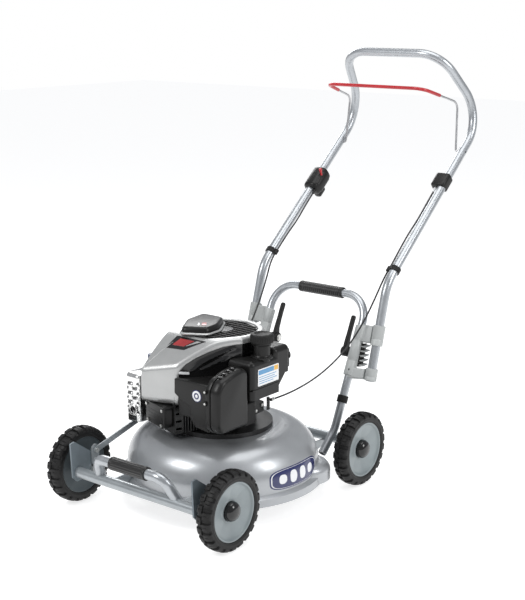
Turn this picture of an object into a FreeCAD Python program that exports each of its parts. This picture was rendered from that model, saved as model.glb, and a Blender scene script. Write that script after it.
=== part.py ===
import FreeCAD, Part
import math
import os
from FreeCAD import Vector as V

# Walk-behind rotary mower.  Millimetres, +Z up, +X the operator's left, -Y the front.
# The drawing datum is midway between the axles; save() moves it under the middle of the overall length.

os.makedirs("parts", exist_ok=True)

# ---- driving dimensions ----
LENGTH_CENTRE_Y = 275.14

WHEEL_R = 100.0
WHEEL_WIDTH = 43.2
WHEEL_X = 254.4
AXLE_Y = 274.4
AXLE_Z = 100.0
RIM_R = 74.0
AXLE_R = 6.0
RUNNING_GAP = 0.05

CRANK_Y = 6.0
DECK_R = 253.0
DECK_TOP = 190.0
DECK_ROUND = 90.0
DECK_SHEET = 2.5
LIP_R = 269.0
LIP_BOTTOM = 52.0

CROSS_R = 14.0
CROSS_HALF = 203.0
FRONT_TUBE = (-325.0, 102.0)
REAR_TUBE = (308.0, 97.0)
PLATE_T = 5.0

HANDLE_X = 217.0
HANDLE_R = 12.5
LEG_X = 161.0
LEG_R = 11.5
TUBE_WALL = 2.0

HANDLE_BOTTOM = (376.0, 256.0)
HANDLE_BEND = (451.0, 519.0)
HANDLE_REAR = (947.0, 938.0)
HANDLE_TOP = (166.0, 783.0, 1125.0)
U_CORNER = (448.0, 472.0)
U_BEND = (290.0, 128.0)
U_FOOT = (233.0, 75.0)

CYLINDER_TURN = -18.0
BORE_Z = 255.0
PISTON_R = 32.4
GEAR_MODULE = 2.0

X_AXIS = V(1, 0, 0)
Y_AXIS = V(0, 1, 0)
Z_AXIS = V(0, 0, 1)


# ---- helpers ----
def save(node, shape):
    """Write one sub-part, moved to the exported origin."""
    moved = shape.copy()
    moved.translate(V(0, -LENGTH_CENTRE_Y, 0))
    moved.exportStep("parts/" + node + ".step")


def group(shapes):
    return Part.makeCompound(shapes)


def both_sides(shape):
    return [shape, shape.mirror(V(0, 0, 0), X_AXIS)]


def box(x0, x1, y0, y1, z0, z1):
    return Part.makeBox(x1 - x0, y1 - y0, z1 - z0, V(x0, y0, z0))


def soft_box(x0, x1, y0, y1, z0, z1, radius):
    """A box with its four upright edges and its top edges rounded."""
    solid = box(x0, x1, y0, y1, z0, z1)
    edges = []
    for edge in solid.Edges:
        if edge.BoundBox.ZMax > z0 + 0.01:
            edges.append(edge)
    return solid.makeFillet(radius, edges)


def rod(start, end, radius, bore=0.0):
    axis = end - start
    solid = Part.makeCylinder(radius, axis.Length, start, axis)
    if bore > 0:
        solid = solid.cut(Part.makeCylinder(bore, axis.Length, start, axis))
    return solid


def prism_x(points, x0, x1):
    """A profile in Y and Z, extruded along X."""
    corners = [V(x0, y, z) for y, z in points]
    face = Part.Face(Part.makePolygon(corners + [corners[0]]))
    return face.extrude(V(x1 - x0, 0, 0))


def prism_z(points, z0, z1):
    """A profile in X and Y, extruded along Z."""
    corners = [V(x, y, z0) for x, y in points]
    face = Part.Face(Part.makePolygon(corners + [corners[0]]))
    return face.extrude(V(0, 0, z1 - z0))


def turned(points, centre, axis, start):
    """Revolve a profile of (radius, distance along axis) pairs about an axis."""
    corners = [centre + start * r + axis * d for r, d in points]
    face = Part.Face(Part.makePolygon(corners + [corners[0]]))
    return face.revolve(centre, axis, 360)


def bent_tube(points, radii, radius, bore=0.0):
    """A round tube along straight runs joined by tangent arcs: cylinders and swept arcs, joined end to end."""
    pieces = []
    here = points[0]
    for index in range(1, len(points) - 1):
        before = (points[index] - points[index - 1]).normalize()
        after = (points[index + 1] - points[index]).normalize()
        turn = before.getAngle(after)
        setback = radii[index - 1] * math.tan(turn / 2)
        arc_start = points[index] - before * setback
        pieces.append(rod(here, arc_start, radius, bore))
        normal = before.cross(after).normalize()
        centre = arc_start + normal.cross(before).normalize() * radii[index - 1]
        outer = Part.Wire(Part.makeCircle(radius, arc_start, before))
        face = Part.Face(outer)
        if bore > 0:
            inner = Part.Face(Part.Wire(Part.makeCircle(bore, arc_start, before)))
            face = face.cut(inner)
        pieces.append(face.revolve(centre, normal, math.degrees(turn)))
        here = points[index] + after * setback
    pieces.append(rod(here, points[-1], radius, bore))
    joined = pieces[0].multiFuse(pieces[1:])
    return joined.removeSplitter()


def bolt(point, direction, shank_r, shank_len, head_r, head_len):
    """A hexagon bolt: its head starts at point, and its shank runs along direction."""
    direction = V(direction).normalize()
    side = direction.cross(V(0.31, 0.5, 0.81)).normalize()
    up = direction.cross(side)
    corners = []
    for step in range(7):
        angle = math.radians(60 * step)
        corners.append(point + side * (head_r * math.cos(angle)) + up * (head_r * math.sin(angle)))
    head = Part.Face(Part.makePolygon(corners)).extrude(direction * -head_len)
    return head.fuse(rod(point, point + direction * shank_len, shank_r))


def place_cylinder(shape):
    """Turn a cylinder-side piece from straight ahead to its angle about the crank axis."""
    out = shape.copy()
    out.translate(V(0, CRANK_Y, 0))
    out.rotate(V(0, CRANK_Y, 0), Z_AXIS, CYLINDER_TURN)
    return out


def involute_gear(teeth, phase, z0, z1, backlash=0.3):
    """A spur gear with straight involute teeth, 20 degree pressure angle."""
    pitch_r = GEAR_MODULE * teeth / 2
    base_r = pitch_r * math.cos(math.radians(20))
    tip_r = pitch_r + 0.9 * GEAR_MODULE
    root_r = pitch_r - 1.2 * GEAR_MODULE
    half = math.pi / (2 * teeth) - backlash / (4 * pitch_r)
    pitch_inv = math.tan(math.radians(20)) - math.radians(20)
    flank = []
    start_r = max(base_r, root_r)
    for step in range(6):
        r = start_r + (tip_r - start_r) * step / 5
        alpha = math.acos(base_r / r)
        flank.append((r, half + pitch_inv - (math.tan(alpha) - alpha)))
    corners = []
    for tooth in range(teeth):
        middle = 2 * math.pi * tooth / teeth + phase
        corners.append((root_r, middle - flank[0][1]))
        for r, angle in flank:
            corners.append((r, middle - angle))
        for r, angle in reversed(flank):
            corners.append((r, middle + angle))
        corners.append((root_r, middle + flank[0][1]))
    points = [(r * math.cos(a), r * math.sin(a)) for r, a in corners]
    return prism_z(points, z0, z1)


# ---- deck ----
def dome(side_r, round_r, top, lip_r, lip_bottom, sheet):
    """The solid under the deck's outer surface, less a sheet thickness all round."""
    centre_r = side_r - round_r
    inner_round = round_r - sheet
    points = [V(0, 0, lip_bottom), V(lip_r - sheet, 0, lip_bottom), V(lip_r - sheet - 3, 0, lip_bottom + 18)]
    points.append(V(side_r - sheet, 0, lip_bottom + 24))
    points.append(V(side_r - sheet, 0, top - round_r))
    edges = [Part.makeLine(a, b) for a, b in zip(points[:-1], points[1:])]
    arc_end = V(centre_r, 0, top - sheet)
    middle = V(centre_r + inner_round * math.cos(math.pi / 4), 0,
               top - round_r + inner_round * math.sin(math.pi / 4))
    edges.append(Part.Arc(points[-1], middle, arc_end).toShape())
    edges.append(Part.makeLine(arc_end, V(0, 0, top - sheet)))
    edges.append(Part.makeLine(V(0, 0, top - sheet), points[0]))
    solid = Part.Face(Part.Wire(edges)).revolve(V(0, 0, 0), Z_AXIS, 360)
    solid.translate(V(0, CRANK_Y, 0))
    return solid


def rear_lobe(sheet):
    """The rounded swelling of the skirt beside each rear wheel."""
    centre = V(186, CRANK_Y + 108, LIP_BOTTOM)
    solid = Part.makeCylinder(71 - sheet, 46 - sheet, centre, Z_AXIS)
    top_edges = [edge for edge in solid.Edges if edge.BoundBox.ZMin > LIP_BOTTOM + 1]
    return solid.makeFillet(22 - sheet, top_edges)


deck_outer = dome(DECK_R, DECK_ROUND, DECK_TOP, LIP_R, LIP_BOTTOM, 0.0)
deck_inner = dome(DECK_R, DECK_ROUND, DECK_TOP, LIP_R, LIP_BOTTOM, DECK_SHEET)
for lobe in both_sides(rear_lobe(0.0)):
    deck_outer = deck_outer.fuse(lobe)
for lobe in both_sides(rear_lobe(DECK_SHEET)):
    deck_inner = deck_inner.fuse(lobe)
deck = deck_outer.cut(deck_inner)
deck = deck.cut(Part.makeCylinder(32, 20, V(0, CRANK_Y, DECK_TOP - 10), Z_AXIS))
engine_bolt_spots = []
for angle in (60, 180, 300):
    x = 88 * math.cos(math.radians(angle))
    y = CRANK_Y + 88 * math.sin(math.radians(angle))
    engine_bolt_spots.append((x, y))
    deck = deck.cut(Part.makeCylinder(4.2, 20, V(x, y, DECK_TOP - 10), Z_AXIS))
save("deck", deck)

# ---- cross tubes, wheel plates and deck brackets ----
cross_tubes = []
for y, z in (FRONT_TUBE, REAR_TUBE):
    cross_tubes.append(rod(V(-CROSS_HALF, y, z), V(CROSS_HALF, y, z), CROSS_R, CROSS_R - 2.5))
save("cross_tubes", group(cross_tubes))

front_plate = [(-350, 183), (-336, 186), (-286, 150), (-254, 126), (-254, 84), (-331, 78), (-345, 92)]
rear_plate = [(326, 78), (326, 118), (300, 128), (262, 124), (254, 84)]
wheel_plates = []
for profile, y_axle in ((front_plate, -AXLE_Y), (rear_plate, AXLE_Y)):
    plate = prism_x(profile, CROSS_HALF, CROSS_HALF + PLATE_T)
    plate = plate.cut(rod(V(CROSS_HALF - 1, y_axle, AXLE_Z), V(CROSS_HALF + 9, y_axle, AXLE_Z), AXLE_R + 0.2))
    wheel_plates.extend(both_sides(plate))
stay_holes = [(-268, 120), (-268, 147)]
drill = [rod(V(-230, y, z), V(-190, y, z), 3.2) for y, z in stay_holes]
wheel_plates = [plate.cut(group(drill)) for plate in wheel_plates]
save("wheel_plates", group(wheel_plates))

brackets = []
for x in (118, -118):
    front = prism_x([(-318, 84), (-318, 92), (-190, 96), (-190, 62), (-250, 62)], x - 2.5, x + 2.5)
    rear = prism_x([(316, 80), (300, 90), (200, 96), (200, 60), (240, 60)], x - 2.5, x + 2.5)
    for piece, (y, z) in ((front, FRONT_TUBE), (rear, REAR_TUBE)):
        piece = piece.cut(rod(V(-CROSS_HALF, y, z), V(CROSS_HALF, y, z), CROSS_R))
        brackets.append(piece.cut(deck_outer))
save("deck_brackets", group(brackets))

# ---- wheels and their axle bolts ----
axle_bolts = []
for side in (1, -1):
    for y in (-AXLE_Y, AXLE_Y):
        out = X_AXIS * side
        shank = rod(V(side * 196, y, AXLE_Z), V(side * 268, y, AXLE_Z), AXLE_R)
        head = rod(V(side * 268, y, AXLE_Z), V(side * 273, y, AXLE_Z), 10)
        collar = rod(V(side * (CROSS_HALF + PLATE_T), y, AXLE_Z), V(side * 226, y, AXLE_Z), 11)
        nut = bolt(V(side * CROSS_HALF, y, AXLE_Z), out, AXLE_R, 1, 10.5, 8)
        axle_bolts.append(shank.multiFuse([head, collar, nut]))
save("axle_bolts", group(axle_bolts))


def tread_row(x0, x1, phase):
    """One row of tread blocks, as a toothed ring."""
    points = []
    blocks = 22
    for block in range(blocks):
        for fraction, r in ((0.0, 94.0), (0.06, WHEEL_R + 2), (0.56, WHEEL_R + 2), (0.62, 94.0)):
            angle = 2 * math.pi * (block + fraction + phase) / blocks
            points.append((r * math.cos(angle), r * math.sin(angle)))
    return prism_x(points, x0, x1)


half_width = WHEEL_WIDTH / 2
tyre_profile = [(RIM_R, -half_width + 2), (88, -half_width), (95, -half_width + 2), (WHEEL_R, -half_width + 9),
                (WHEEL_R, half_width - 9), (95, half_width - 2), (88, half_width), (RIM_R, half_width - 2)]
envelope = turned(tyre_profile, V(0, 0, 0), X_AXIS, Y_AXIS)
core = envelope.common(rod(V(-30, 0, 0), V(30, 0, 0), 95.5))
blocks_out = envelope.common(tread_row(1.0, half_width + 1, 0.0))
blocks_in = envelope.common(tread_row(-half_width - 1, -1.0, 0.5))
tyre = core.multiFuse([blocks_out, blocks_in]).removeSplitter()

rim_profile = [(AXLE_R + RUNNING_GAP, -28), (17, -28), (17, -18.5), (RIM_R, -18.5), (RIM_R, 19), (RIM_R - 3.5, 19),
               (RIM_R - 6, 13), (28, 3), (26, 5), (26, 9), (18, 9), (18, 13), (AXLE_R + RUNNING_GAP, 13)]
rim = turned(rim_profile, V(0, 0, 0), X_AXIS, Y_AXIS)
pocket = turned([(20, -25), (RIM_R - 4, -25), (RIM_R - 4, 6), (28, -3), (20, -3)], V(0, 0, 0), X_AXIS, Y_AXIS)
ribs = [box(-30, 20, -2, 2, 15, RIM_R) for step in range(8)]
for step, rib in enumerate(ribs):
    rib.rotate(V(0, 0, 0), X_AXIS, 45 * step)
rim = rim.cut(pocket.cut(group(ribs)))
inner_cover = rod(V(-18.5, 0, 0), V(-16, 0, 0), RIM_R - 4).cut(rod(V(-19, 0, 0), V(-15, 0, 0), 20))
rim = rim.fuse(inner_cover.cut(rod(V(-19, 8, 46), V(-15, 8, 46), 4)))

cap_profile = [(22, 9), (24, 9), (24, 14), (21, 20), (15, 24), (8, 26), (0, 26.5), (0, 24.5), (8, 24), (14, 22),
               (19.5, 18.5), (22, 13.5)]
cap = turned(cap_profile, V(0, 0, 0), X_AXIS, Y_AXIS)

for label, side, y in (("front_left", 1, -AXLE_Y), ("front_right", -1, -AXLE_Y),
                       ("rear_left", 1, AXLE_Y), ("rear_right", -1, AXLE_Y)):
    for name, shape in (("tyre", tyre), ("rim", rim), ("hub_cap", cap)):
        piece = shape.copy()
        piece.translate(V(WHEEL_X, y, AXLE_Z))
        if side < 0:
            piece = piece.mirror(V(0, 0, 0), X_AXIS)
        save(name + "_" + label, piece)

# ---- front lifting handle ----
front_tube_solid = rod(V(-CROSS_HALF, *FRONT_TUBE), V(CROSS_HALF, *FRONT_TUBE), CROSS_R)
handle_path = [V(131, -316, 104), V(112, -346, 166), V(-112, -346, 166), V(-131, -316, 104)]
front_handle = bent_tube(handle_path, [34, 34], 13.5, 11.5).cut(front_tube_solid)
front_handle = sorted(front_handle.Solids, key=lambda solid: solid.Volume)[-1]
save("front_handle", front_handle)

grips = [rod(V(-60, -346, 166), V(60, -346, 166), 17, 13.5)]
grips.append(rod(V(-74, *U_CORNER), V(74, *U_CORNER), 16, LEG_R))
flutes = []
for y, z, r in ((-346, 166, 17), (U_CORNER[0], U_CORNER[1], 16)):
    for step in range(20):
        angle = 2 * math.pi * step / 20
        start = V(-90, y + r * math.cos(angle), z + r * math.sin(angle))
        flutes.append(rod(start, start + X_AXIS * 180, 0.9))
save("handle_grips", group([grips[0].cut(group(flutes[:20])), grips[1].cut(group(flutes[20:]))]))

# ---- right-hand stay ----
stay_inner = -CROSS_HALF


def strip(points, half_height, x0, x1):
    """A flat bar along a path in Y and Z, with rounded ends and corners."""
    pieces = []
    for (y0, z0), (y1, z1) in zip(points[:-1], points[1:]):
        length = math.hypot(y1 - y0, z1 - z0)
        side_y = -(z1 - z0) / length * half_height
        side_z = (y1 - y0) / length * half_height
        corners = [(y0 + side_y, z0 + side_z), (y1 + side_y, z1 + side_z),
                   (y1 - side_y, z1 - side_z), (y0 - side_y, z0 - side_z)]
        pieces.append(prism_x(corners, x0, x1))
    for y, z in points:
        pieces.append(rod(V(x0, y, z), V(x1, y, z), half_height))
    return pieces[0].multiFuse(pieces[1:]).removeSplitter()


strap = strip([(-268, 110), (-268, 149)], 13, stay_inner, stay_inner + 4).cut(group(drill))
strap = strap.cut(rod(V(-220, -AXLE_Y, AXLE_Z), V(-180, -AXLE_Y, AXLE_Z), 12.5))
bar = strip([(-267, 148), (-96, 192), (96, 194), (262, 150), (276, 118)], 7.5, stay_inner + 4, stay_inner + 8)
bar = bar.cut(group(drill))
save("right_stay", group([strap, bar]))

# ---- frame bolts ----
frame_bolts = []
for y, z in stay_holes:
    reach = 8 if z > 130 else 4
    shank_end = V(-CROSS_HALF - PLATE_T - 5, y, z)
    start = V(stay_inner + reach, y, z)
    frame_bolts.append(bolt(start, V(-1, 0, 0), 3.0, (start - shank_end).Length, 6.5, 4.5))
for x, y in engine_bolt_spots:
    frame_bolts.append(bolt(V(x, y, DECK_TOP - DECK_SHEET), V(0, 0, 1), 4.0, 24, 7.5, 5.5))

# ---- U handle, guide blocks and clamp levers ----
u_path = [V(LEG_X, *U_FOOT), V(LEG_X, *U_BEND), V(LEG_X, *U_CORNER), V(-LEG_X, *U_CORNER),
          V(-LEG_X, *U_BEND), V(-LEG_X, *U_FOOT)]
rear_tube_solid = rod(V(-CROSS_HALF, *REAR_TUBE), V(CROSS_HALF, *REAR_TUBE), CROSS_R)
u_handle = bent_tube(u_path, [90, 72, 72, 90], LEG_R, LEG_R - TUBE_WALL)
u_handle = u_handle.cut(rear_tube_solid).cut(deck_outer)
u_handle = sorted(u_handle.Solids, key=lambda solid: solid.Volume)[-1]
save("u_handle", u_handle)

leg_dir = V(0, U_CORNER[0] - U_BEND[0], U_CORNER[1] - U_BEND[1]).normalize()


def on_leg(z):
    return V(LEG_X, U_BEND[0] + (z - U_BEND[1]) * leg_dir.y / leg_dir.z, z)


slide_dir = V(0, HANDLE_BEND[0] - HANDLE_BOTTOM[0], HANDLE_BEND[1] - HANDLE_BOTTOM[1]).normalize()
slide_normal = slide_dir.cross(X_AXIS).normalize()


def on_handle(z):
    return V(HANDLE_X, HANDLE_BOTTOM[0] + (z - HANDLE_BOTTOM[1]) * slide_dir.y / slide_dir.z, z)


leg_collar = rod(on_leg(198), on_leg(216), 15, LEG_R)
save("leg_collars", group(both_sides(leg_collar)))


def along_box(origin, direction, x0, x1, front, back, length):
    """A box that runs along a leaning direction, from origin, with its sides square to it."""
    normal = direction.cross(X_AXIS).normalize()
    corners = []
    for depth in (-back, front):
        corners.append(origin + normal * depth)
    corners.append(corners[1] + direction * length)
    corners.append(corners[0] + direction * length)
    return prism_x([(corner.y, corner.z) for corner in corners], x0, x1)


leg_axis = rod(on_leg(180), on_leg(460), LEG_R + 0.02)
handle_axis = rod(on_handle(180), on_handle(470), HANDLE_R + 0.06)
block_low = on_leg(268)
body = along_box(block_low, leg_dir, LEG_X - 16, LEG_X + 17, 17, 17, 142)
collar_low = along_box(on_handle(258), slide_dir, LEG_X + 6, HANDLE_X + 17, 18, 18, 34)
collar_top = along_box(on_handle(352), slide_dir, LEG_X + 6, HANDLE_X + 17, 18, 18, 56)
web = along_box(on_handle(288), slide_dir, LEG_X + 6, LEG_X + 17, 24, 17, 70)
notches = []
for step in range(5):
    notch = on_handle(296 + 14 * step)
    notches.append(along_box(notch, slide_dir, LEG_X + 12, LEG_X + 30, 30, 5, 9))
web = web.cut(group(notches))
block = body.multiFuse([collar_low, collar_top, web])
block = block.cut(leg_axis).cut(handle_axis)
block = block.cut(rod(V(100, 393, 322), V(LEG_X - 11.6, 393, 322), 4.0))
save("guide_blocks", group(both_sides(block)))

lever_pin = rod(V(112, 393, 322), V(LEG_X - 12, 393, 322), 3.96)
lever_pin = lever_pin.fuse(rod(V(109, 393, 322), V(112, 393, 322), 6.5))
frame_bolts.extend(both_sides(lever_pin))
save("fasteners", group(frame_bolts))

lever_arm = strip([(393, 322), (398, 350), (431, 421)], 7.5, 120, 128)
lever_head = rod(V(113, 393, 322), V(139, 393, 322), 14)
lever = lever_arm.fuse(lever_head).cut(rod(V(100, 393, 322), V(150, 393, 322), 4.02))
left_lever, right_lever = both_sides(lever)
save("clamp_lever_left", left_lever)
save("clamp_lever_right", right_lever)

# ---- handlebar ----
handle_path = [V(HANDLE_X, *HANDLE_BOTTOM), V(HANDLE_X, *HANDLE_BEND), V(HANDLE_X, *HANDLE_REAR), V(*HANDLE_TOP)]
mirrored = [V(-point.x, point.y, point.z) for point in reversed(handle_path)]
handlebar = bent_tube(handle_path + mirrored, [120, 105, 88, 88, 105, 120], HANDLE_R, HANDLE_R - TUBE_WALL)
upper_dir = V(0, HANDLE_REAR[0] - HANDLE_BEND[0], HANDLE_REAR[1] - HANDLE_BEND[1]).normalize()
upper_normal = upper_dir.cross(X_AXIS).normalize()


def on_upper(y):
    return V(HANDLE_X, y, HANDLE_BEND[1] + (y - HANDLE_BEND[0]) * upper_dir.z / upper_dir.y)


bail_pivot = on_upper(836)
pivot_hole = rod(V(-230, bail_pivot.y, bail_pivot.z), V(230, bail_pivot.y, bail_pivot.z), 3.0)
handlebar = handlebar.cut(pivot_hole)
save("handlebar", handlebar)

clip_point = on_upper(488)
clip_ring = rod(clip_point - upper_dir * 7, clip_point + upper_dir * 7, 16)
cable_spot = clip_point - X_AXIS * 19
clip = clip_ring.fuse(rod(cable_spot - upper_dir * 7, cable_spot + upper_dir * 7, 6.5))
clip = clip.cut(rod(clip_point - upper_dir * 9, clip_point + upper_dir * 9, HANDLE_R))
clip = clip.cut(rod(cable_spot - upper_dir * 9, cable_spot + upper_dir * 9, 2.6))
save("cable_clips", group(both_sides(clip)))

# ---- brake bail ----
BAIL_WIRE_R = 3.0
bail_corner = V(166, 690, 1032)
half = [V(HANDLE_X - 1, bail_pivot.y, bail_pivot.z), V(195.5, bail_pivot.y, bail_pivot.z), V(189, 848, 985),
        bail_corner]
other = [V(-point.x, point.y, point.z) for point in reversed(half)]
bail_wire = bent_tube(half + other, [7, 26, 34, 34, 26, 7], BAIL_WIRE_R - 0.05)
save("bail_wire", bail_wire)

sleeve_start = half[2] + (bail_corner - half[2]) * 0.52
sleeve_path = [sleeve_start, bail_corner, V(-bail_corner.x, bail_corner.y, bail_corner.z),
               V(-sleeve_start.x, sleeve_start.y, sleeve_start.z)]
save("bail_sleeve", bent_tube(sleeve_path, [34, 34], 5.0, BAIL_WIRE_R - 0.05))

# ---- control housings on the handlebar ----
def on_tube_box(point, side_low, side_high, below, above, length):
    """A box beside the upper handlebar tube, square to it, with the tube's own room cut out."""
    solid = along_box(point, upper_dir, point.x + side_low, point.x + side_high, above, below, length)
    return solid.cut(rod(point - upper_dir * 40, point + upper_dir * (length + 40), HANDLE_R))


throttle_point = on_upper(680)
throttle = on_tube_box(throttle_point, -34, 15, 26, 22, 78)
lever_slot_centre = throttle_point + upper_dir * 40
slot = rod(V(HANDLE_X - 28, lever_slot_centre.y, lever_slot_centre.z),
           V(HANDLE_X - 21, lever_slot_centre.y, lever_slot_centre.z), 40)
throttle = sorted(throttle.cut(slot).Solids, key=lambda solid: solid.Volume)[-1]
save("throttle_housing", throttle.mirror(V(0, 0, 0), X_AXIS))

disc_centre = V(HANDLE_X - 24.5, lever_slot_centre.y, lever_slot_centre.z)
disc = rod(disc_centre - X_AXIS * 3, disc_centre + X_AXIS * 3.2, 18)
finger_dir = (upper_dir * 0.38 - upper_normal * 0.92).normalize()
finger = rod(disc_centre + finger_dir * 10, disc_centre + finger_dir * 46, 2.8)
save("throttle_lever", disc.fuse(finger).mirror(V(0, 0, 0), X_AXIS))

brake_box = on_tube_box(on_upper(724), -28, 15, 17, 17, 46)
save("brake_cable_box", brake_box)

# ---- crankshaft, flywheel, camshaft ----
crank_teeth = 20
cam_teeth = 40
cam_y = CRANK_Y + GEAR_MODULE * (crank_teeth + cam_teeth) / 2
throw = 22.0
pieces = [rod(V(0, 0, 120), V(0, 0, 236), 12.5), rod(V(0, 0, 236), V(0, 0, 244), 30),
          rod(V(0, -throw, 244), V(0, -throw, 266), 13), rod(V(0, 0, 266), V(0, 0, 274), 30),
          rod(V(0, 0, 274), V(0, 0, 352), 12.5), involute_gear(crank_teeth, math.pi / 2, 218, 230)]
crank = pieces[0].multiFuse(pieces[1:])
crank.translate(V(0, CRANK_Y, 0))
save("crankshaft", crank)

cam_gear = involute_gear(cam_teeth, -math.pi / 2 + math.pi / cam_teeth, 218, 230)
cam_pieces = [rod(V(0, 0, 206), V(0, 0, 292), 7.0), rod(V(0, 4, 248), V(0, 4, 256), 12),
              rod(V(3, -3, 266), V(3, -3, 274), 12)]
camshaft = cam_gear.multiFuse(cam_pieces)
camshaft.translate(V(0, cam_y, 0))
save("camshaft", camshaft)

wheel_disc = rod(V(0, CRANK_Y, 322), V(0, CRANK_Y, 346), 84).cut(rod(V(0, CRANK_Y, 322), V(0, CRANK_Y, 336), 66))
wheel_disc = wheel_disc.fuse(rod(V(0, CRANK_Y, 318), V(0, CRANK_Y, 340), 24))
fins = []
for step in range(16):
    fin = box(34, 83, -1.6, 1.6, 344, 372)
    fin.rotate(V(0, 0, 0), V(0, 0, 1), 22.5 * step)
    fin.translate(V(0, CRANK_Y, 0))
    fins.append(fin)
flywheel = wheel_disc.multiFuse(fins).cut(rod(V(0, CRANK_Y, 300), V(0, CRANK_Y, 390), 12.5))
save("flywheel", flywheel)

# ---- blade set ----
hub = rod(V(0, CRANK_Y, 96), V(0, CRANK_Y, 150), 21).cut(rod(V(0, CRANK_Y, 120), V(0, CRANK_Y, 160), 12.5))
hub = hub.fuse(rod(V(0, CRANK_Y, 92), V(0, CRANK_Y, 98), 34))
hub = hub.cut(rod(V(0, CRANK_Y, 80), V(0, CRANK_Y, 130), 5.0))
save("blade_hub", hub)
blade = box(-226, 226, -26, 26, 88, 92)
for turn in (0, 180):
    wing = prism_x([(26, 88), (26, 92), (38, 108), (40, 106), (31, 88)], 150, 226)
    wing.rotate(V(0, 0, 0), Z_AXIS, turn)
    blade = blade.fuse(wing)
blade.translate(V(0, CRANK_Y, 0))
blade = blade.cut(rod(V(0, CRANK_Y, 80), V(0, CRANK_Y, 100), 5.0))
save("blade", blade)
save("blade_bolt", bolt(V(0, CRANK_Y, 88), V(0, 0, 1), 5.0, 32, 12, 8))

# ---- engine cover shell ----
nose_left = (3, -172)
nose_right = (-93, -198)


def shroud_solid(inset, z0, z1):
    """The engine cover's outline in plan: a disc about the crank axis run forward into the nose."""
    disc = rod(V(0, CRANK_Y, z0), V(0, CRANK_Y, z1), 114 - inset)
    outline = [(nose_left[0] - inset * 1.3, nose_left[1] + inset), (104 - inset * 1.2, -40),
               (60, 60), (-60, 60), (-108 + inset * 1.2, -20), (nose_right[0] + inset * 0.9, nose_right[1] + inset)]
    solid = disc.fuse(prism_z(outline, z0, z1))
    slope = prism_x([(-88, 448 - inset), (-230, 354 - inset), (-230, 520), (-88, 520)], -200, 200)
    return solid.cut(slope)


outer = shroud_solid(0, 286, 448)
inner = shroud_solid(3, 280, 445)
shell = outer.cut(inner)
grille_hole = rod(V(0, CRANK_Y, 400), V(0, CRANK_Y, 460), 96)
shell = shell.cut(grille_hole)
trim_line = [(-170, 373), (-158, 390), (-135, 405), (-108, 418), (-81, 428), (-54, 432)]
silver_zone = prism_x([(-300, 240), (-170, 240)] + trim_line + [(140, 432), (140, 470), (-300, 470)], -200, 200)
save("top_shroud", shell.common(silver_zone))

# ---- crankcase and cylinder ----
case = rod(V(0, 0, 201), V(0, 0, 300), 88)
base = rod(V(0, 0, DECK_TOP), V(0, 0, 202), 132)
tower = box(-38, 38, -150, -60, 214, 298)
case = case.multiFuse([base, tower])
for step in range(9):
    fin = box(-54, 54, -146 + 8 * step, -143 + 8 * step, 206, 306)
    case = case.fuse(fin)
cavity = rod(V(0, 0, 206), V(0, 0, 290), 78)
case = case.cut(cavity)
case = case.cut(rod(V(0, 0, DECK_TOP - 1), V(0, 0, 310), 12.5 + RUNNING_GAP))
case = case.cut(rod(V(0, -160, BORE_Z), V(0, -40, BORE_Z), PISTON_R + 0.05))
case = place_cylinder(case)
cam_floor = rod(V(0, cam_y, 206), V(0, cam_y, 292), 7.0 + RUNNING_GAP)
cam_clear = rod(V(0, cam_y, 212), V(0, cam_y, 236), 43)
case = case.cut(cam_clear).cut(cam_floor)
cam_wall = rod(V(0, cam_y, 202), V(0, cam_y, 294), 47)
cam_wall = cam_wall.cut(rod(V(0, cam_y, 206), V(0, cam_y, 290), 43.5)).cut(
    rod(V(0, CRANK_Y, 190), V(0, CRANK_Y, 310), 78))
case = case.fuse(cam_wall).cut(cam_floor)
for x, y in engine_bolt_spots:
    case = case.cut(rod(V(x, y, 180), V(x, y, 216), 4.0))
save("crankcase", case)

head = box(-54, 54, -176, -150, 206, 306)
for step in range(5):
    head = head.cut(box(-60, 60, -172, -155, 216 + 20 * step, 222 + 20 * step).cut(box(-32, 32, -180, -150, 200, 310)))
plug_hole = rod(V(-60, -163, 275), V(-20, -163, 275), 7.0)
head = place_cylinder(head.cut(plug_hole)).cut(shell)
save("cylinder_head", sorted(head.Solids, key=lambda solid: solid.Volume)[-1])
rocker = soft_box(-50, 50, -204, -176, 220, 284, 7)
save("rocker_cover", place_cylinder(rocker))

piston = rod(V(0, -148, BORE_Z), V(0, -104, BORE_Z), PISTON_R)
piston = piston.cut(rod(V(0, -140, BORE_Z), V(0, -103, BORE_Z), 27)).fuse(
    rod(V(-30, -118, BORE_Z), V(30, -118, BORE_Z), 7))
save("piston", place_cylinder(piston))
con_rod = rod(V(-9, -118, BORE_Z), V(9, -118, BORE_Z), 12, 7)
con_rod = con_rod.fuse(box(-7, 7, -106.5, -38, BORE_Z - 5, BORE_Z + 5))
con_rod = con_rod.cut(rod(V(0, 0, 200), V(0, 0, 300), 37))
save("con_rod", place_cylinder(con_rod))

spark_plug = rod(V(-20, -163, 275), V(-54, -163, 275), 7.0).fuse(rod(V(-54, -163, 275), V(-70, -163, 275), 5))
save("spark_plug", place_cylinder(spark_plug))
boot = rod(V(-56, -163, 275), V(-71, -163, 275), 8.5).fuse(rod(V(-71, -163, 266), V(-71, -172, 388), 9))
boot = boot.cut(rod(V(-50, -163, 275), V(-70, -163, 275), 5))
save("plug_boot", place_cylinder(boot))

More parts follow.
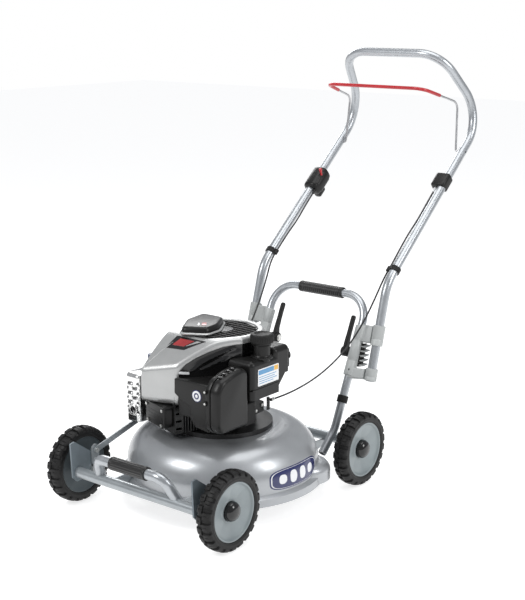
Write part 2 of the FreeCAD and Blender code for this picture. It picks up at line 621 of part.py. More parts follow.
# ---- muffler and its guard ----
muffler = soft_box(-180, -142, -152, -64, 216, 322, 8)
muffler = muffler.fuse(rod(V(-160, -152, 238), V(-160, -160, 238), 9)).cut(
    rod(V(-160, -138, 238), V(-160, -162, 238), 7))
save("muffler", muffler)
guard = soft_box(-190, -136, -166, -58, 206, 334, 12)
guard = guard.cut(soft_box(-187, -120, -163, -61, 200, 331, 9))
slots = [rod(V(-160, -170, 238), V(-160, -150, 238), 12)]
for level in range(5):
    z = 262 + 14 * level
    slots.append(box(-180, -142, -170, -150, z, z + 7))
for level in range(6):
    z = 222 + 17 * level
    slots.append(box(-194, -180, -150, -110, z, z + 9))
    slots.append(box(-194, -180, -102, -70, z, z + 9))
guard = guard.cut(group(slots))
save("muffler_guard", guard)

# ---- carburettor, air filter, fuel tank ----
save("carburettor", soft_box(96, 132, -62, -18, 226, 284, 5))
base_plan = [(8, -190), (122, -190), (122, -86), (74, -86), (8, -172)]
filter_base = prism_z(base_plan, 240, 362)
base_edges = [edge for edge in filter_base.Edges if edge.BoundBox.ZMin > 361 and edge.BoundBox.YMin < -189]
save("air_filter_base", filter_base.makeFillet(10, base_edges))
cover_side = [(-182, 238), (-198, 254), (-198, 352), (-180, 374), (-100, 390), (-80, 382), (-80, 238)]
filter_cover = prism_x(cover_side, 122, 160)
cover_edges = [edge for edge in filter_cover.Edges if edge.BoundBox.XMin > 159]
save("air_filter_cover", filter_cover.makeFillet(9, cover_edges))

NECK_SPOT = (145.0, -10.0)
shroud_clear = rod(V(0, CRANK_Y, 280), V(0, CRANK_Y, 460), 119)
NECK_TOP = 440.0
CAP_R = 31.0
tank = soft_box(70, 164, -74, 84, 300, 400, 14).cut(shroud_clear)
shoulder = soft_box(100, 164, 18, 84, 380, 418, 14).cut(shroud_clear)
neck = rod(V(*NECK_SPOT, 390), V(*NECK_SPOT, NECK_TOP), 21)
lobe = soft_box(96, 150, 70, 106, 352, 404, 12).cut(shroud_clear)
tank = tank.multiFuse([shoulder, neck, lobe])
tank = tank.cut(prism_x([(36, 290), (36, 318), (62, 346), (110, 346), (110, 290)], 60, 170))
tank = sorted(tank.Solids, key=lambda solid: solid.Volume)[-1]
tank_room = soft_box(74, 160, -70, 32, 304, 396, 10).cut(rod(V(0, CRANK_Y, 280), V(0, CRANK_Y, 460), 123))
tank = tank.cut(tank_room).cut(rod(V(*NECK_SPOT, 380), V(*NECK_SPOT, NECK_TOP + 1), 17))
save("fuel_tank", tank)
fuel_cap = rod(V(*NECK_SPOT, NECK_TOP), V(*NECK_SPOT, NECK_TOP + 22), CAP_R)
ridges = []
for step in range(24):
    angle = 2 * math.pi * step / 24
    point = V(NECK_SPOT[0] + CAP_R * math.cos(angle), NECK_SPOT[1] + CAP_R * math.sin(angle), NECK_TOP - 2)
    ridges.append(rod(point, point + Z_AXIS * 30, 1.6))
save("fuel_cap", fuel_cap.cut(group(ridges)))

# ---- blower housing, grille, top cap ----
black = sorted(shell.cut(silver_zone).Solids, key=lambda solid: solid.Volume)[-1]
save("blower_housing", black.cut(place_cylinder(box(-56, 56, -180, -80, 280, 308))))

grille = rod(V(0, CRANK_Y, 438), V(0, CRANK_Y, 448), 96).cut(rod(V(0, CRANK_Y, 430), V(0, CRANK_Y, 445), 92))
slits = []
for step in range(11):
    offset = -80 + 16 * step
    half_len = math.sqrt(88.0 ** 2 - offset ** 2)
    slits.append(box(-half_len, half_len, CRANK_Y + offset - 4, CRANK_Y + offset + 4, 430, 450))
grille = grille.cut(group(slits).cut(rod(V(0, CRANK_Y, 430), V(0, CRANK_Y, 450), 24)))
top_cap_points = [(-104, -34), (-110, 44), (-34, 44), (4, -30), (6, -76), (-48, -104)]
top_cap_points = [(x * 0.86, y * 0.86 + 4) for x, y in top_cap_points]
top_cap = prism_z(top_cap_points, 448, 466)
cap_edges = [edge for edge in top_cap.Edges if edge.BoundBox.ZMin > 465]
save("grille", grille)
save("top_cap", top_cap.makeChamfer(5, cap_edges))

pull_dir = V(-0.83, 0.56, 0).normalize()
pull_across = Z_AXIS.cross(pull_dir)
grip_seat = V(0, CRANK_Y, 408) + pull_dir * 114.3
grip_bar = grip_seat + pull_dir * 22
starter_grip = rod(grip_seat, grip_bar, 8).fuse(rod(grip_bar - pull_across * 36, grip_bar + pull_across * 36, 9))
save("starter_grip", starter_grip)

# ---- control cables ----
CABLE_R = 2.4


def cable_radii(points):
    """Arc radius at each bend, 0.45 of the shorter run over the tangent of half the turn."""
    radii = []
    for a, b, c in zip(points[:-2], points[1:-1], points[2:]):
        turn = (b - a).getAngle(c - b)
        shorter = min((b - a).Length, (c - b).Length)
        radii.append(0.45 * shorter / math.tan(turn / 2))
    return radii


def route_length(points, radii):
    total = sum((b - a).Length for a, b in zip(points[:-1], points[1:]))
    for (a, b, c), radius in zip(zip(points[:-2], points[1:-1], points[2:]), radii):
        turn = (b - a).getAngle(c - b)
        total -= 2 * radius * math.tan(turn / 2) - radius * turn
    return total


def beside(side, y, inward, lift):
    """A point beside an upper handlebar tube, inward of it and lifted square to it."""
    point = on_upper(y) - X_AXIS * inward + upper_normal * lift
    return V(side * point.x, point.y, point.z)


brake_route = [beside(1, 724, 19, 0), beside(1, 680, 19, 0), beside(1, 634, 20, 3), beside(1, 588, 20, -2),
               beside(1, 546, 20, -1), beside(1, 506, 19, 0), beside(1, 464, 19, 0), V(191, 430, 474),
               V(182, 396, 420), V(172, 356, 372), V(161, 312, 334), V(150, 262, 304), V(139, 206, 282),
               V(129, 150, 269), V(123, 98, 264), V(120, 60, 264)]
throttle_route = [beside(-1, 680, 19, 0), beside(-1, 634, 19, 0), beside(-1, 588, 20, 3),
                  beside(-1, 546, 20, -1), beside(-1, 506, 19, 0), beside(-1, 464, 19, 0), V(-190, 432, 480),
                  V(-181, 392, 428), V(-170, 352, 392), V(-155, 306, 364), V(-138, 256, 342), V(-116, 204, 322),
                  V(-90, 150, 306), V(-60, 122, 300)]
for name, route in (("brake_cable", brake_route), ("throttle_cable", throttle_route)):
    radii = cable_radii(route)
    cable = bent_tube(route, radii, CABLE_R)
    print(name, "radii", [round(radius) for radius in radii], "length", round(route_length(route, radii)))
    print(name, "volume ratio", cable.Volume / (math.pi * CABLE_R ** 2 * route_length(route, radii)))
    save(name, cable)
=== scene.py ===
import bmesh
import bpy
import math
from mathutils import Vector, Matrix


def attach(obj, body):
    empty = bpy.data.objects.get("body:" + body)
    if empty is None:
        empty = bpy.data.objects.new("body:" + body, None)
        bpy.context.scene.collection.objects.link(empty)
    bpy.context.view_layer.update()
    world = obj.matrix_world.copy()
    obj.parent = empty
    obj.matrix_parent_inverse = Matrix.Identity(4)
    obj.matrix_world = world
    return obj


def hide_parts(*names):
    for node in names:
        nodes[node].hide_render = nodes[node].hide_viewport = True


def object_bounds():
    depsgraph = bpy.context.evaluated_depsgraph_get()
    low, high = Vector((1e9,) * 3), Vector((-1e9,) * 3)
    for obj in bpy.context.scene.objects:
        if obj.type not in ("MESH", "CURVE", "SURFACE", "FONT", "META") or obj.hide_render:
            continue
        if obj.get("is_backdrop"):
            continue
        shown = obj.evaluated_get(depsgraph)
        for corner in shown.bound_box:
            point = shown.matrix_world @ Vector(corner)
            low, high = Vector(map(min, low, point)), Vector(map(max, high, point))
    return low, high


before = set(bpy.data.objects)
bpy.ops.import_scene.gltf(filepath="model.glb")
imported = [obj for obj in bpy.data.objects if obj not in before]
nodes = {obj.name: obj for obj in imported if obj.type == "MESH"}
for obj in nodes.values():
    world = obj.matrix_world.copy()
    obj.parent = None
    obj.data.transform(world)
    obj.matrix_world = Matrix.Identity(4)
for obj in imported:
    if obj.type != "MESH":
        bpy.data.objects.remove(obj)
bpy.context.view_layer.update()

# The drawing's datum is midway between the axles, in millimetres; the frame's origin is under the overall middle.
DATUM_Y = 275.14
CRANK_Y = 6.0


def mm(x, y, z):
    """A point of the drawing, in metres in the frame."""
    return Vector((x / 1000, (y - DATUM_Y) / 1000, z / 1000))


# ---------------------------------------------------------------- materials
def material(name, colour, rough, metallic=0.0, coat=0.0, grain=500.0, bump=0.1, spread=0.06, rough_spread=0.06,
             broad=14.0, flake=0.0, coat_rough=0.08, streak=None, specular=0.5):
    """A Principled finish whose colour, roughness and relief vary over the surface at real scale."""
    made = bpy.data.materials.new(name)
    made.use_nodes = True
    tree = made.node_tree
    shader = tree.nodes["Principled BSDF"]
    shader.inputs["Metallic"].default_value = metallic
    shader.inputs["Coat Weight"].default_value = coat
    shader.inputs["Specular IOR Level"].default_value = specular
    shader.inputs["Coat Roughness"].default_value = coat_rough
    coord = tree.nodes.new("ShaderNodeTexCoord")
    source = coord.outputs["Object"]
    if streak:
        mapping = tree.nodes.new("ShaderNodeMapping")
        mapping.inputs["Scale"].default_value = streak
        tree.links.new(source, mapping.inputs["Vector"])
        source = mapping.outputs["Vector"]
    fine = tree.nodes.new("ShaderNodeTexNoise")
    fine.inputs["Scale"].default_value = grain
    fine.inputs["Detail"].default_value = 5.0
    wide = tree.nodes.new("ShaderNodeTexNoise")
    wide.inputs["Scale"].default_value = broad
    wide.inputs["Detail"].default_value = 6.0
    wide.inputs["Roughness"].default_value = 0.6
    tree.links.new(source, fine.inputs["Vector"])
    tree.links.new(coord.outputs["Object"], wide.inputs["Vector"])
    ramp = tree.nodes.new("ShaderNodeValToRGB")
    low = [max(c * (1 - spread * 2), 0.0) for c in colour]
    high = [min(c * (1 + spread * 2), 1.0) for c in colour]
    ramp.color_ramp.elements[0].position = 0.3
    ramp.color_ramp.elements[0].color = (*low, 1)
    ramp.color_ramp.elements[1].position = 0.7
    ramp.color_ramp.elements[1].color = (*high, 1)
    tree.links.new(wide.outputs["Fac"], ramp.inputs["Fac"])
    colour_out = ramp.outputs["Color"]
    if flake > 0:
        cells = tree.nodes.new("ShaderNodeTexVoronoi")
        cells.inputs["Scale"].default_value = 2600.0
        tree.links.new(coord.outputs["Object"], cells.inputs["Vector"])
        blend = tree.nodes.new("ShaderNodeMix")
        blend.data_type = "RGBA"
        blend.blend_type = "OVERLAY"
        blend.inputs["Factor"].default_value = flake
        tree.links.new(colour_out, blend.inputs[6])
        grey = tree.nodes.new("ShaderNodeRGBToBW")
        tree.links.new(cells.outputs["Color"], grey.inputs["Color"])
        tree.links.new(grey.outputs["Val"], blend.inputs[7])
        colour_out = blend.outputs[2]
    tree.links.new(colour_out, shader.inputs["Base Color"])
    rough_map = tree.nodes.new("ShaderNodeMapRange")
    rough_map.inputs["From Min"].default_value = 0.25
    rough_map.inputs["From Max"].default_value = 0.75
    rough_map.inputs["To Min"].default_value = max(rough - rough_spread, 0.02)
    rough_map.inputs["To Max"].default_value = min(rough + rough_spread, 1.0)
    mixed = tree.nodes.new("ShaderNodeMath")
    mixed.operation = "MULTIPLY_ADD"
    mixed.inputs[1].default_value = 0.5
    tree.links.new(fine.outputs["Fac"], mixed.inputs[0])
    halved = tree.nodes.new("ShaderNodeMath")
    halved.operation = "MULTIPLY"
    halved.inputs[1].default_value = 0.5
    tree.links.new(wide.outputs["Fac"], halved.inputs[0])
    tree.links.new(halved.outputs[0], mixed.inputs[2])
    tree.links.new(mixed.outputs[0], rough_map.inputs["Value"])
    tree.links.new(rough_map.outputs["Result"], shader.inputs["Roughness"])
    relief = tree.nodes.new("ShaderNodeBump")
    relief.inputs["Strength"].default_value = bump
    relief.inputs["Distance"].default_value = 0.0004
    tree.links.new(fine.outputs["Fac"], relief.inputs["Height"])
    tree.links.new(relief.outputs["Normal"], shader.inputs["Normal"])
    return made


MAT = {
    "deck_paint": material("deck_paint", (0.40, 0.415, 0.43), 0.34, metallic=0.55, coat=0.4, grain=900, bump=0.03,
                           spread=0.03, broad=9, flake=0.12, coat_rough=0.12),
    "frame_paint": material("frame_paint", (0.34, 0.365, 0.38), 0.34, metallic=0.65, coat=0.4, grain=1200, bump=0.05,
                            spread=0.04, broad=20, flake=0.1),
    "handle_paint": material("handle_paint", (0.42, 0.44, 0.46), 0.30, metallic=0.7, coat=0.4, grain=1200, bump=0.04,
                             spread=0.04, broad=16, flake=0.1),
    "plate_paint": material("plate_paint", (0.16, 0.19, 0.21), 0.45, metallic=0.4, grain=900, bump=0.08, spread=0.08),
    "zinc_steel": material("zinc_steel", (0.62, 0.62, 0.60), 0.3, metallic=1.0, grain=700, bump=0.1, spread=0.1,
                           rough_spread=0.12, broad=60),
    "tyre": material("tyre", (0.009, 0.0088, 0.0088), 0.5, specular=0.3, grain=1400, bump=0.25, spread=0.12,
                     broad=30),
    "rim_plastic": material("rim_plastic", (0.25, 0.285, 0.295), 0.38, coat=0.1, grain=1300, bump=0.06, spread=0.04),
    # painted shade: a darkened copy of the wheel's blue-grey rim plastic, used on the rim's inner face
    "rim_back_shade": material("rim_back_shade", (0.045, 0.06, 0.068), 0.5, grain=1300, bump=0.08, spread=0.05),
    "gloss_black": material("gloss_black", (0.006, 0.006, 0.0062), 0.16, coat=0.35, specular=0.4, grain=900,
                            bump=0.02, spread=0.1, rough_spread=0.05),
    "satin_black": material("satin_black", (0.009, 0.0088, 0.0086), 0.34, coat=0.02, specular=0.28, grain=1500,
                            bump=0.12, spread=0.1),
    "matte_black": material("matte_black", (0.011, 0.0108, 0.0105), 0.52, specular=0.25, grain=1500, bump=0.2,
                            spread=0.12),
    "grip_rubber": material("grip_rubber", (0.008, 0.0078, 0.0076), 0.36, specular=0.5, grain=1600, bump=0.25,
                            spread=0.12),
    "block_plastic": material("block_plastic", (0.40, 0.415, 0.41), 0.42, grain=1200, bump=0.08, spread=0.04),
    "shroud_silver": material("shroud_silver", (0.45, 0.455, 0.45), 0.33, metallic=0.55, coat=0.25, grain=1500,
                              bump=0.06, spread=0.03, flake=0.1),
    "engine_metal": material("engine_metal", (0.02, 0.02, 0.02), 0.42, metallic=0.3, grain=600, bump=0.35,
                             spread=0.15, rough_spread=0.12),
    "cast_alloy": material("cast_alloy", (0.55, 0.56, 0.57), 0.45, metallic=0.9, grain=500, bump=0.3, spread=0.06),
    "steel": material("steel", (0.42, 0.42, 0.43), 0.36, metallic=1.0, grain=500, bump=0.1, spread=0.1,
                      streak=(1, 1, 14)),
    "chrome_guard": material("chrome_guard", (0.80, 0.80, 0.79), 0.16, metallic=1.0, grain=300, bump=0.12,
                             spread=0.05, rough_spread=0.08, broad=50),
    "red_sleeve": material("red_sleeve", (0.42, 0.010, 0.016), 0.26, coat=0.3, grain=900, bump=0.03, spread=0.06),
    "cable_sheath": material("cable_sheath", (0.009, 0.009, 0.0095), 0.38, grain=1500, bump=0.06, spread=0.1),
    "ceramic": material("ceramic", (0.8, 0.79, 0.76), 0.2, grain=600, bump=0.02),
    "blue_boot": material("blue_boot", (0.02, 0.035, 0.09), 0.4, grain=1200, bump=0.1, spread=0.1),
    "navy_print": material("navy_print", (0.012, 0.018, 0.10), 0.25, coat=0.5, grain=900, bump=0.02, spread=0.05),
    "white_print": material("white_print", (0.78, 0.79, 0.80), 0.3, coat=0.4, grain=900, bump=0.02, spread=0.02),
    "sky_print": material("sky_print", (0.08, 0.28, 0.52), 0.3, coat=0.4, grain=900, bump=0.02, spread=0.05),
    "amber_print": material("amber_print", (0.75, 0.42, 0.05), 0.3, coat=0.4, grain=900, bump=0.02, spread=0.05),
    "red_print": material("red_print", (0.33, 0.02, 0.022), 0.3, coat=0.4, grain=900, bump=0.02, spread=0.1),
}

FINISH = {
    "deck": "deck_paint", "cross_tubes": "frame_paint", "wheel_plates": "plate_paint", "deck_brackets": "frame_paint",
    "axle_bolts": "zinc_steel", "front_handle": "handle_paint", "handle_grips": "grip_rubber",
    "right_stay": "frame_paint", "fasteners": "zinc_steel", "u_handle": "handle_paint", "leg_collars": "matte_black",
    "guide_blocks": "block_plastic", "clamp_lever_left": "matte_black", "clamp_lever_right": "matte_black",
    "handlebar": "handle_paint", "cable_clips": "matte_black", "bail_wire": "steel",
    "bail_sleeve": "red_sleeve", "throttle_housing": "satin_black", "throttle_lever": "satin_black",
    "brake_cable_box": "satin_black", "crankshaft": "steel", "camshaft": "steel", "flywheel": "engine_metal",
    "blade_hub": "steel", "blade": "steel", "blade_bolt": "zinc_steel", "crankcase": "engine_metal",
    "cylinder_head": "engine_metal", "rocker_cover": "satin_black", "piston": "cast_alloy", "con_rod": "cast_alloy",
    "spark_plug": "ceramic", "plug_boot": "blue_boot", "muffler": "steel", "muffler_guard": "chrome_guard",
    "carburettor": "matte_black", "air_filter_base": "matte_black", "air_filter_cover": "satin_black",
    "fuel_tank": "satin_black", "fuel_cap": "matte_black", "blower_housing": "gloss_black",
    "top_shroud": "shroud_silver", "grille": "satin_black", "top_cap": "gloss_black", "starter_grip": "matte_black",
    "brake_cable": "cable_sheath", "throttle_cable": "cable_sheath",
}
for corner in ("front_left", "front_right", "rear_left", "rear_right"):
    FINISH["tyre_" + corner] = "tyre"
    FINISH["rim_" + corner] = "rim_plastic"
    FINISH["hub_cap_" + corner] = "gloss_black"
for name, finish in FINISH.items():
    slots = nodes[name].data.materials
    if not slots:
        slots.append(MAT[finish])
    for index in range(len(slots)):
        slots[index] = MAT[finish]


def add_mesh(name, points, faces, finish, body, node=None, sharp=35.0, bevel=0.0, bevel_over=30.0):
    """A piece from points in drawing millimetres: normals set, hard edges kept sharp, and an optional edge bevel."""
    shape = bmesh.new()
    made = [shape.verts.new(mm(*point)) for point in points]
    for face in faces:
        shape.faces.new([made[index] for index in face])
    bmesh.ops.remove_doubles(shape, verts=shape.verts, dist=2e-6)
    bmesh.ops.dissolve_degenerate(shape, dist=1e-6, edges=shape.edges)
    bmesh.ops.recalc_face_normals(shape, faces=shape.faces)
    middle = sum((vert.co for vert in shape.verts), Vector()) / len(shape.verts)
    if sum((face.calc_center_median() - middle).dot(face.normal) * face.calc_area() for face in shape.faces) < 0:
        bmesh.ops.reverse_faces(shape, faces=shape.faces)
    if bevel > 0:
        edges = [edge for edge in shape.edges
                 if len(edge.link_faces) == 2 and edge.calc_face_angle(0) > math.radians(bevel_over)]
        bmesh.ops.bevel(shape, geom=edges, offset=bevel / 1000, segments=3, profile=0.6, affect="EDGES",
                        clamp_overlap=True)
    mesh = bpy.data.meshes.new(name)
    shape.to_mesh(mesh)
    shape.free()
    for polygon in mesh.polygons:
        polygon.use_smooth = True
    mesh.set_sharp_from_angle(angle=math.radians(sharp))
    mesh.materials.append(MAT[finish])
    piece = bpy.data.objects.new(name, mesh)
    bpy.context.collection.objects.link(piece)
    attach(piece, body)
    if node:
        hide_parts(node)
    return piece


def grid_faces(rows, columns, wrap=True):
    """Quads between rows of points that lie one after another."""
    faces = []
    for row in range(rows - 1):
        for column in range(columns if wrap else columns - 1):
            after = (column + 1) % columns
            faces.append((row * columns + column, row * columns + after,
                          (row + 1) * columns + after, (row + 1) * columns + column))
    return faces


def loft(name, rings, finish, body, closed_ends=True, **options):
    """A skin over closed rings of equal size."""
    columns = len(rings[0])
    points = [point for ring in rings for point in ring]
    faces = grid_faces(len(rings), columns)
    if closed_ends:
        faces.append(tuple(range(columns)))
        faces.append(tuple(range(len(points) - columns, len(points))))
    return add_mesh(name, points, faces, finish, body, **options)


def turned(name, profile, centre, axis, finish, body, steps=64, ripple=None, **options):
    """A profile of (radius, distance) turned about a line along axis; ripple(angle, radius, distance) adds to it."""
    axis = Vector(axis).normalized()
    side = axis.orthogonal().normalized()
    if abs(axis.x) > 0.99:
        side = Vector((0, 1, 0))
    up = axis.cross(side)
    rings = []
    for radius, distance in profile:
        ring = []
        for step in range(steps):
            angle = 2 * math.pi * step / steps
            extra_r, extra_d = ripple(angle, radius, distance) if ripple else (0.0, 0.0)
            reach = max(radius + extra_r, 0.05)
            ring.append(Vector(centre) + axis * (distance + extra_d)
                        + side * (reach * math.cos(angle)) + up * (reach * math.sin(angle)))
        rings.append(ring)
    return loft(name, rings, finish, body, **options)


def block(name, outline, axis, low, high, finish, body, bevel=2.0, move=None, **options):
    """A plate with an outline in the two directions square to axis, its edges rounded; move places each point."""
    order = {"x": lambda a, b, c: (c, a, b), "y": lambda a, b, c: (a, c, b), "z": lambda a, b, c: (a, b, c)}[axis]
    points = [order(a, b, low) for a, b in outline] + [order(a, b, high) for a, b in outline]
    if move:
        points = [move(*point) for point in points]
    count = len(outline)
    faces = [tuple(range(count)), tuple(range(count, 2 * count))]
    for index in range(count):
        after = (index + 1) % count
        faces.append((index, after, count + after, count + index))
    return add_mesh(name, points, faces, finish, body, bevel=bevel, **options)


def rounded(width, height, radius, steps=5):
    """A rounded rectangle about (0, 0), as (across, up) pairs."""
    outline = []
    for quarter in range(4):
        centre_x = (width / 2 - radius) * (1 if quarter in (0, 3) else -1)
        centre_y = (height / 2 - radius) * (1 if quarter in (0, 1) else -1)
        for step in range(steps + 1):
            angle = math.pi / 2 * (quarter + step / steps)
            outline.append((centre_x + radius * math.cos(angle), centre_y + radius * math.sin(angle)))
    return outline


def lying(origin, across, up):
    """A placing function: (a, b, c) becomes origin + a across + b up + c square to both."""
    across = Vector(across).normalized()
    up = Vector(up)
    up = (up - across * up.dot(across)).normalized()
    out = across.cross(up)
    return lambda a, b, c: Vector(origin) + across * a + up * b + out * c


def sided(side):
    """A placing function that puts a piece on the left (1) or mirrors it to the right (-1)."""
    return lambda x, y, z: Vector((side * x, y, z))


def thicken(piece, metres):
    """Give an open shell its wall, growing inward."""
    wall = piece.modifiers.new("wall", "SOLIDIFY")
    wall.thickness = metres
    wall.offset = -1.0


def spaced(points, count):
    """A closed outline re-spaced evenly into count points."""
    lengths = [0.0]
    for index, point in enumerate(points):
        lengths.append(lengths[-1] + math.dist(point, points[(index + 1) % len(points)]))
    out = []
    cursor = 0
    for step in range(count):
        want = lengths[-1] * step / count
        while lengths[cursor + 1] < want:
            cursor += 1
        share = (want - lengths[cursor]) / max(lengths[cursor + 1] - lengths[cursor], 1e-9)
        out.append(Vector(points[cursor]).lerp(Vector(points[(cursor + 1) % len(points)]), share))
    return out


def smooth_step(value, low, high):
    """0 below low, 1 above high, and an S-curve between."""
    t = min(max((value - low) / (high - low), 0.0), 1.0)
    return t * t * (3 - 2 * t)


def between(value, table):
    """Straight interpolation in a table of (position, height) pairs."""
    if value <= table[0][0]:
        return table[0][1]
    for (a, at_a), (b, at_b) in zip(table[:-1], table[1:]):
        if value <= b:
            return at_a + (at_b - at_a) * (value - a) / (b - a)
    return table[-1][1]


# ---------------------------------------------------------------- wheels
WHEEL_X, AXLE_Y, AXLE_Z = 254.4, 274.4, 100.0
TREAD_BLOCKS = 22


def tyre_points(side, y):
    """A tyre as a relief over its section: two staggered rows of sipe-cut shoulder blocks and a ringed sidewall."""
    section = [(74.5, -19.6), (77, -20.6), (80, -21.1), (81, -21.5), (82.5, -21.5), (83.5, -21.1), (86, -21.2),
               (88, -21.4), (90, -21.3), (92.5, -20.6), (95, -19.2), (97.2, -16.8), (98.6, -13.6), (99.4, -10),
               (99.8, -7), (100, -4.5), (100, -2.6), (100, -1.9), (100, -0.7), (100, 0.7), (100, 1.9), (100, 2.6),
               (100, 4.5), (99.8, 7), (99.4, 10), (98.6, 13.6), (97.2, 16.8), (95, 19.2), (92.5, 20.6), (90, 21.3),
               (88, 21.4), (86, 21.2), (83.5, 21.1), (82.5, 21.5), (81, 21.5), (80, 21.1), (77, 20.6), (74.5, 19.6)]
    steps = TREAD_BLOCKS * 26
    rings = []
    for radius, across in section:
        ring = []
        row = 0.0 if across > 0 else 0.5
        for step in range(steps):
            place = (TREAD_BLOCKS * step / steps + row) % 1.0
            land = smooth_step(place, 0.02, 0.055) * (1 - smooth_step(place, 0.66, 0.695))
            sipe = smooth_step(abs(place - 0.36), 0.012, 0.03)
            cross_sipe = 1.0 if 5 < abs(across) < 16.5 else 0.0
            depth = 5.0 * (1 - land)
            depth = max(depth, 2.2 * (1 - sipe) * cross_sipe)
            if abs(across) < 1.9:
                depth = 4.2
            depth *= smooth_step(radius, 86.5, 93.5)
            on_crown = radius > 97
            r = radius - depth * (1.0 if on_crown else 0.55)
            offset = across if on_crown else across - math.copysign(depth * 0.75, across)
            angle = 2 * math.pi * step / steps
            ring.append((side * (WHEEL_X + offset), y + r * math.cos(angle), AXLE_Z + r * math.sin(angle)))
        rings.append(ring)
    return rings


def crease(angle, radius, distance):
    """Faint radial creases on the wheel's dish."""
    if 30 < radius < 67 and distance > 0:
        wave = abs(math.sin(4 * angle))
        return 0.0, 1.3 * (wave - 0.5) * math.sin(math.pi * (radius - 28) / 40)
    return 0.0, 0.0


for corner, side, y in (("front_left", 1, -AXLE_Y), ("front_right", -1, -AXLE_Y),
                        ("rear_left", 1, AXLE_Y), ("rear_right", -1, AXLE_Y)):
    wheel = "wheel_" + corner
    hub = (side * WHEEL_X, y, AXLE_Z)
    outward = (side, 0, 0)
    rings = tyre_points(side, y)
    rings.append(rings[0])
    loft("tread_" + corner, rings, "tyre", wheel, node="tyre_" + corner, closed_ends=False, sharp=42)
    face = [(24.2, 4), (25.5, 5.6), (27, 5.6), (28, 4.2), (29.5, 3.4), (36, 4.2), (44, 5.8), (52, 8.0), (60, 10.4),
            (65, 12.2), (67.2, 13.6), (68.6, 16.0), (69.8, 18.0), (71, 18.9), (72.6, 19.0), (73.6, 18.5),
            (74.2, 17.5), (74.3, 0), (74.3, -17.4), (73.4, -18.4)]
    turned("dish_" + corner, face, hub, outward, "rim_plastic", wheel, steps=192, ripple=crease,
           node="rim_" + corner, closed_ends=False)
    back = [(73.4, -18.4), (70, -18.5), (66, -17.2), (30, -17.2), (22, -18.8), (17.2, -19.5), (17, -27.4), (16, -28),
            (6.6, -28), (6.05, -27.2)]
    # The rim's back face takes the darkened copy of the rim plastic: painted shade on the inward side of the wheel,
    # not a different plastic.
    turned("dish_back_" + corner, back, hub, outward, "rim_back_shade", wheel, steps=96, closed_ends=False,
           ripple=lambda angle, r, d: (0.0, 0.9 * abs(math.sin(4 * angle)) if 28 < r < 68 else 0.0))
    cap = [(24.4, 7.5), (24.4, 13.6), (23.6, 15.2), (22.6, 17.2), (20.6, 20.0), (17.4, 22.8), (13.2, 24.8),
           (8.4, 25.9), (4.2, 26.35), (0.1, 26.5)]
    turned("hub_dome_" + corner, cap, hub, outward, "gloss_black", wheel, steps=72, node="hub_cap_" + corner)

# ---------------------------------------------------------------- grips
FRONT_GRIP = (0, -346, 166)
U_GRIP = (0, 448, 472)


def grip(name, centre, half, radius, ripple):
    """A rubber sleeve with rounded, plain ends and a ribbed middle, along X."""
    profile = [(13.6, -half), (radius - 1.2, -half), (radius - 0.2, -half + 0.8), (radius, -half + 2.2)]
    stations = int(2 * (half - 7))
    profile += [(radius, -half + 4), (radius, -half + 6)]
    profile += [(radius - 0.35, -half + 7 + index * 2 * (half - 7) / stations) for index in range(stations + 1)]
    profile += [(r, -d) for r, d in reversed(profile[:6])]
    return turned(name, profile, centre, (1, 0, 0), "grip_rubber", "chassis", steps=120, ripple=ripple,
                  closed_ends=False, sharp=50)


def long_ribs(angle, radius, distance):
    """Ribs along the grip."""
    if 15 < radius and abs(distance) < 53:
        return 1.25 * (abs(math.cos(8 * angle)) - 0.75), 0.0
    return 0.0, 0.0


def ring_ribs(angle, radius, distance):
    """Ribs round the grip."""
    if 15 < radius and abs(distance) < 67:
        return abs(math.cos(math.pi * distance / 7.0)) - 0.8, 0.0
    return 0.0, 0.0


front_grip = grip("front_grip", FRONT_GRIP, 60, 17.0, long_ribs)
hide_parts("handle_grips")
grip("u_grip", U_GRIP, 74, 16.0, ring_ribs)

# ---------------------------------------------------------------- engine cover
COVER_R, HOLE_R, COVER_TOP = 112.5, 92.0, 447.6
TRIM = [(-176, 372), (-170, 374), (-158, 390), (-135, 406), (-108, 419), (-81, 429), (-54, 433)]
RIDGES = ([(-144, 372), (-122, 392), (-90, 410), (-60, 424)], [(-124, 374), (-99, 387), (-74, 399)])
SKIRT_BOTTOM = 287.0
OUTLINE_RAYS, OUTLINE_POINTS, OUTLINE_PASSES = 720, 400, 9
NOSE_SLOPE, TOP_EASE = 0.662, 9.0
SHEET = 0.0022


def cover_outline():
    """Plan of the engine cover: a round fan cover run forward into a nose, with its corners eased."""
    corners = [(4, -176), (108, -38), (60, 60), (-60, 60), (-112, -18), (-97, -203)]
    outline = []
    for step in range(OUTLINE_RAYS):
        angle = 2 * math.pi * step / OUTLINE_RAYS
        direction = Vector((math.cos(angle), math.sin(angle)))
        reach = COVER_R
        for index, corner_a in enumerate(corners):
            a = Vector(corner_a) - Vector((0, CRANK_Y))
            b = Vector(corners[(index + 1) % len(corners)]) - Vector((0, CRANK_Y))
            edge = b - a
            bottom = direction.x * edge.y - direction.y * edge.x
            if abs(bottom) < 1e-9:
                continue
            along = (a.x * edge.y - a.y * edge.x) / bottom
            place = (a.x * direction.y - a.y * direction.x) / bottom
            if along > 0 and 0 <= place <= 1:
                reach = max(reach, along)
        outline.append(direction * reach + Vector((0, CRANK_Y)))
    even = spaced(outline, OUTLINE_POINTS)
    for turn in range(OUTLINE_PASSES):
        even = [even[i] * 0.5 + (even[i - 1] + even[(i + 1) % OUTLINE_POINTS]) * 0.25 for i in range(OUTLINE_POINTS)]
    return even


def cover_height(x, y):
    """Flat fan top run smoothly into the sloping nose, which drops a little further at its front end."""
    slope = COVER_TOP + NOSE_SLOPE * (y + 88)
    gap = abs(COVER_TOP - slope)
    height = min(COVER_TOP, slope) - TOP_EASE * math.log(1 + math.exp(-gap / TOP_EASE))
    if y < -110:
        height -= 4.5 * smooth_step(-y, 150, 205)
    return height + TOP_EASE * 0.1


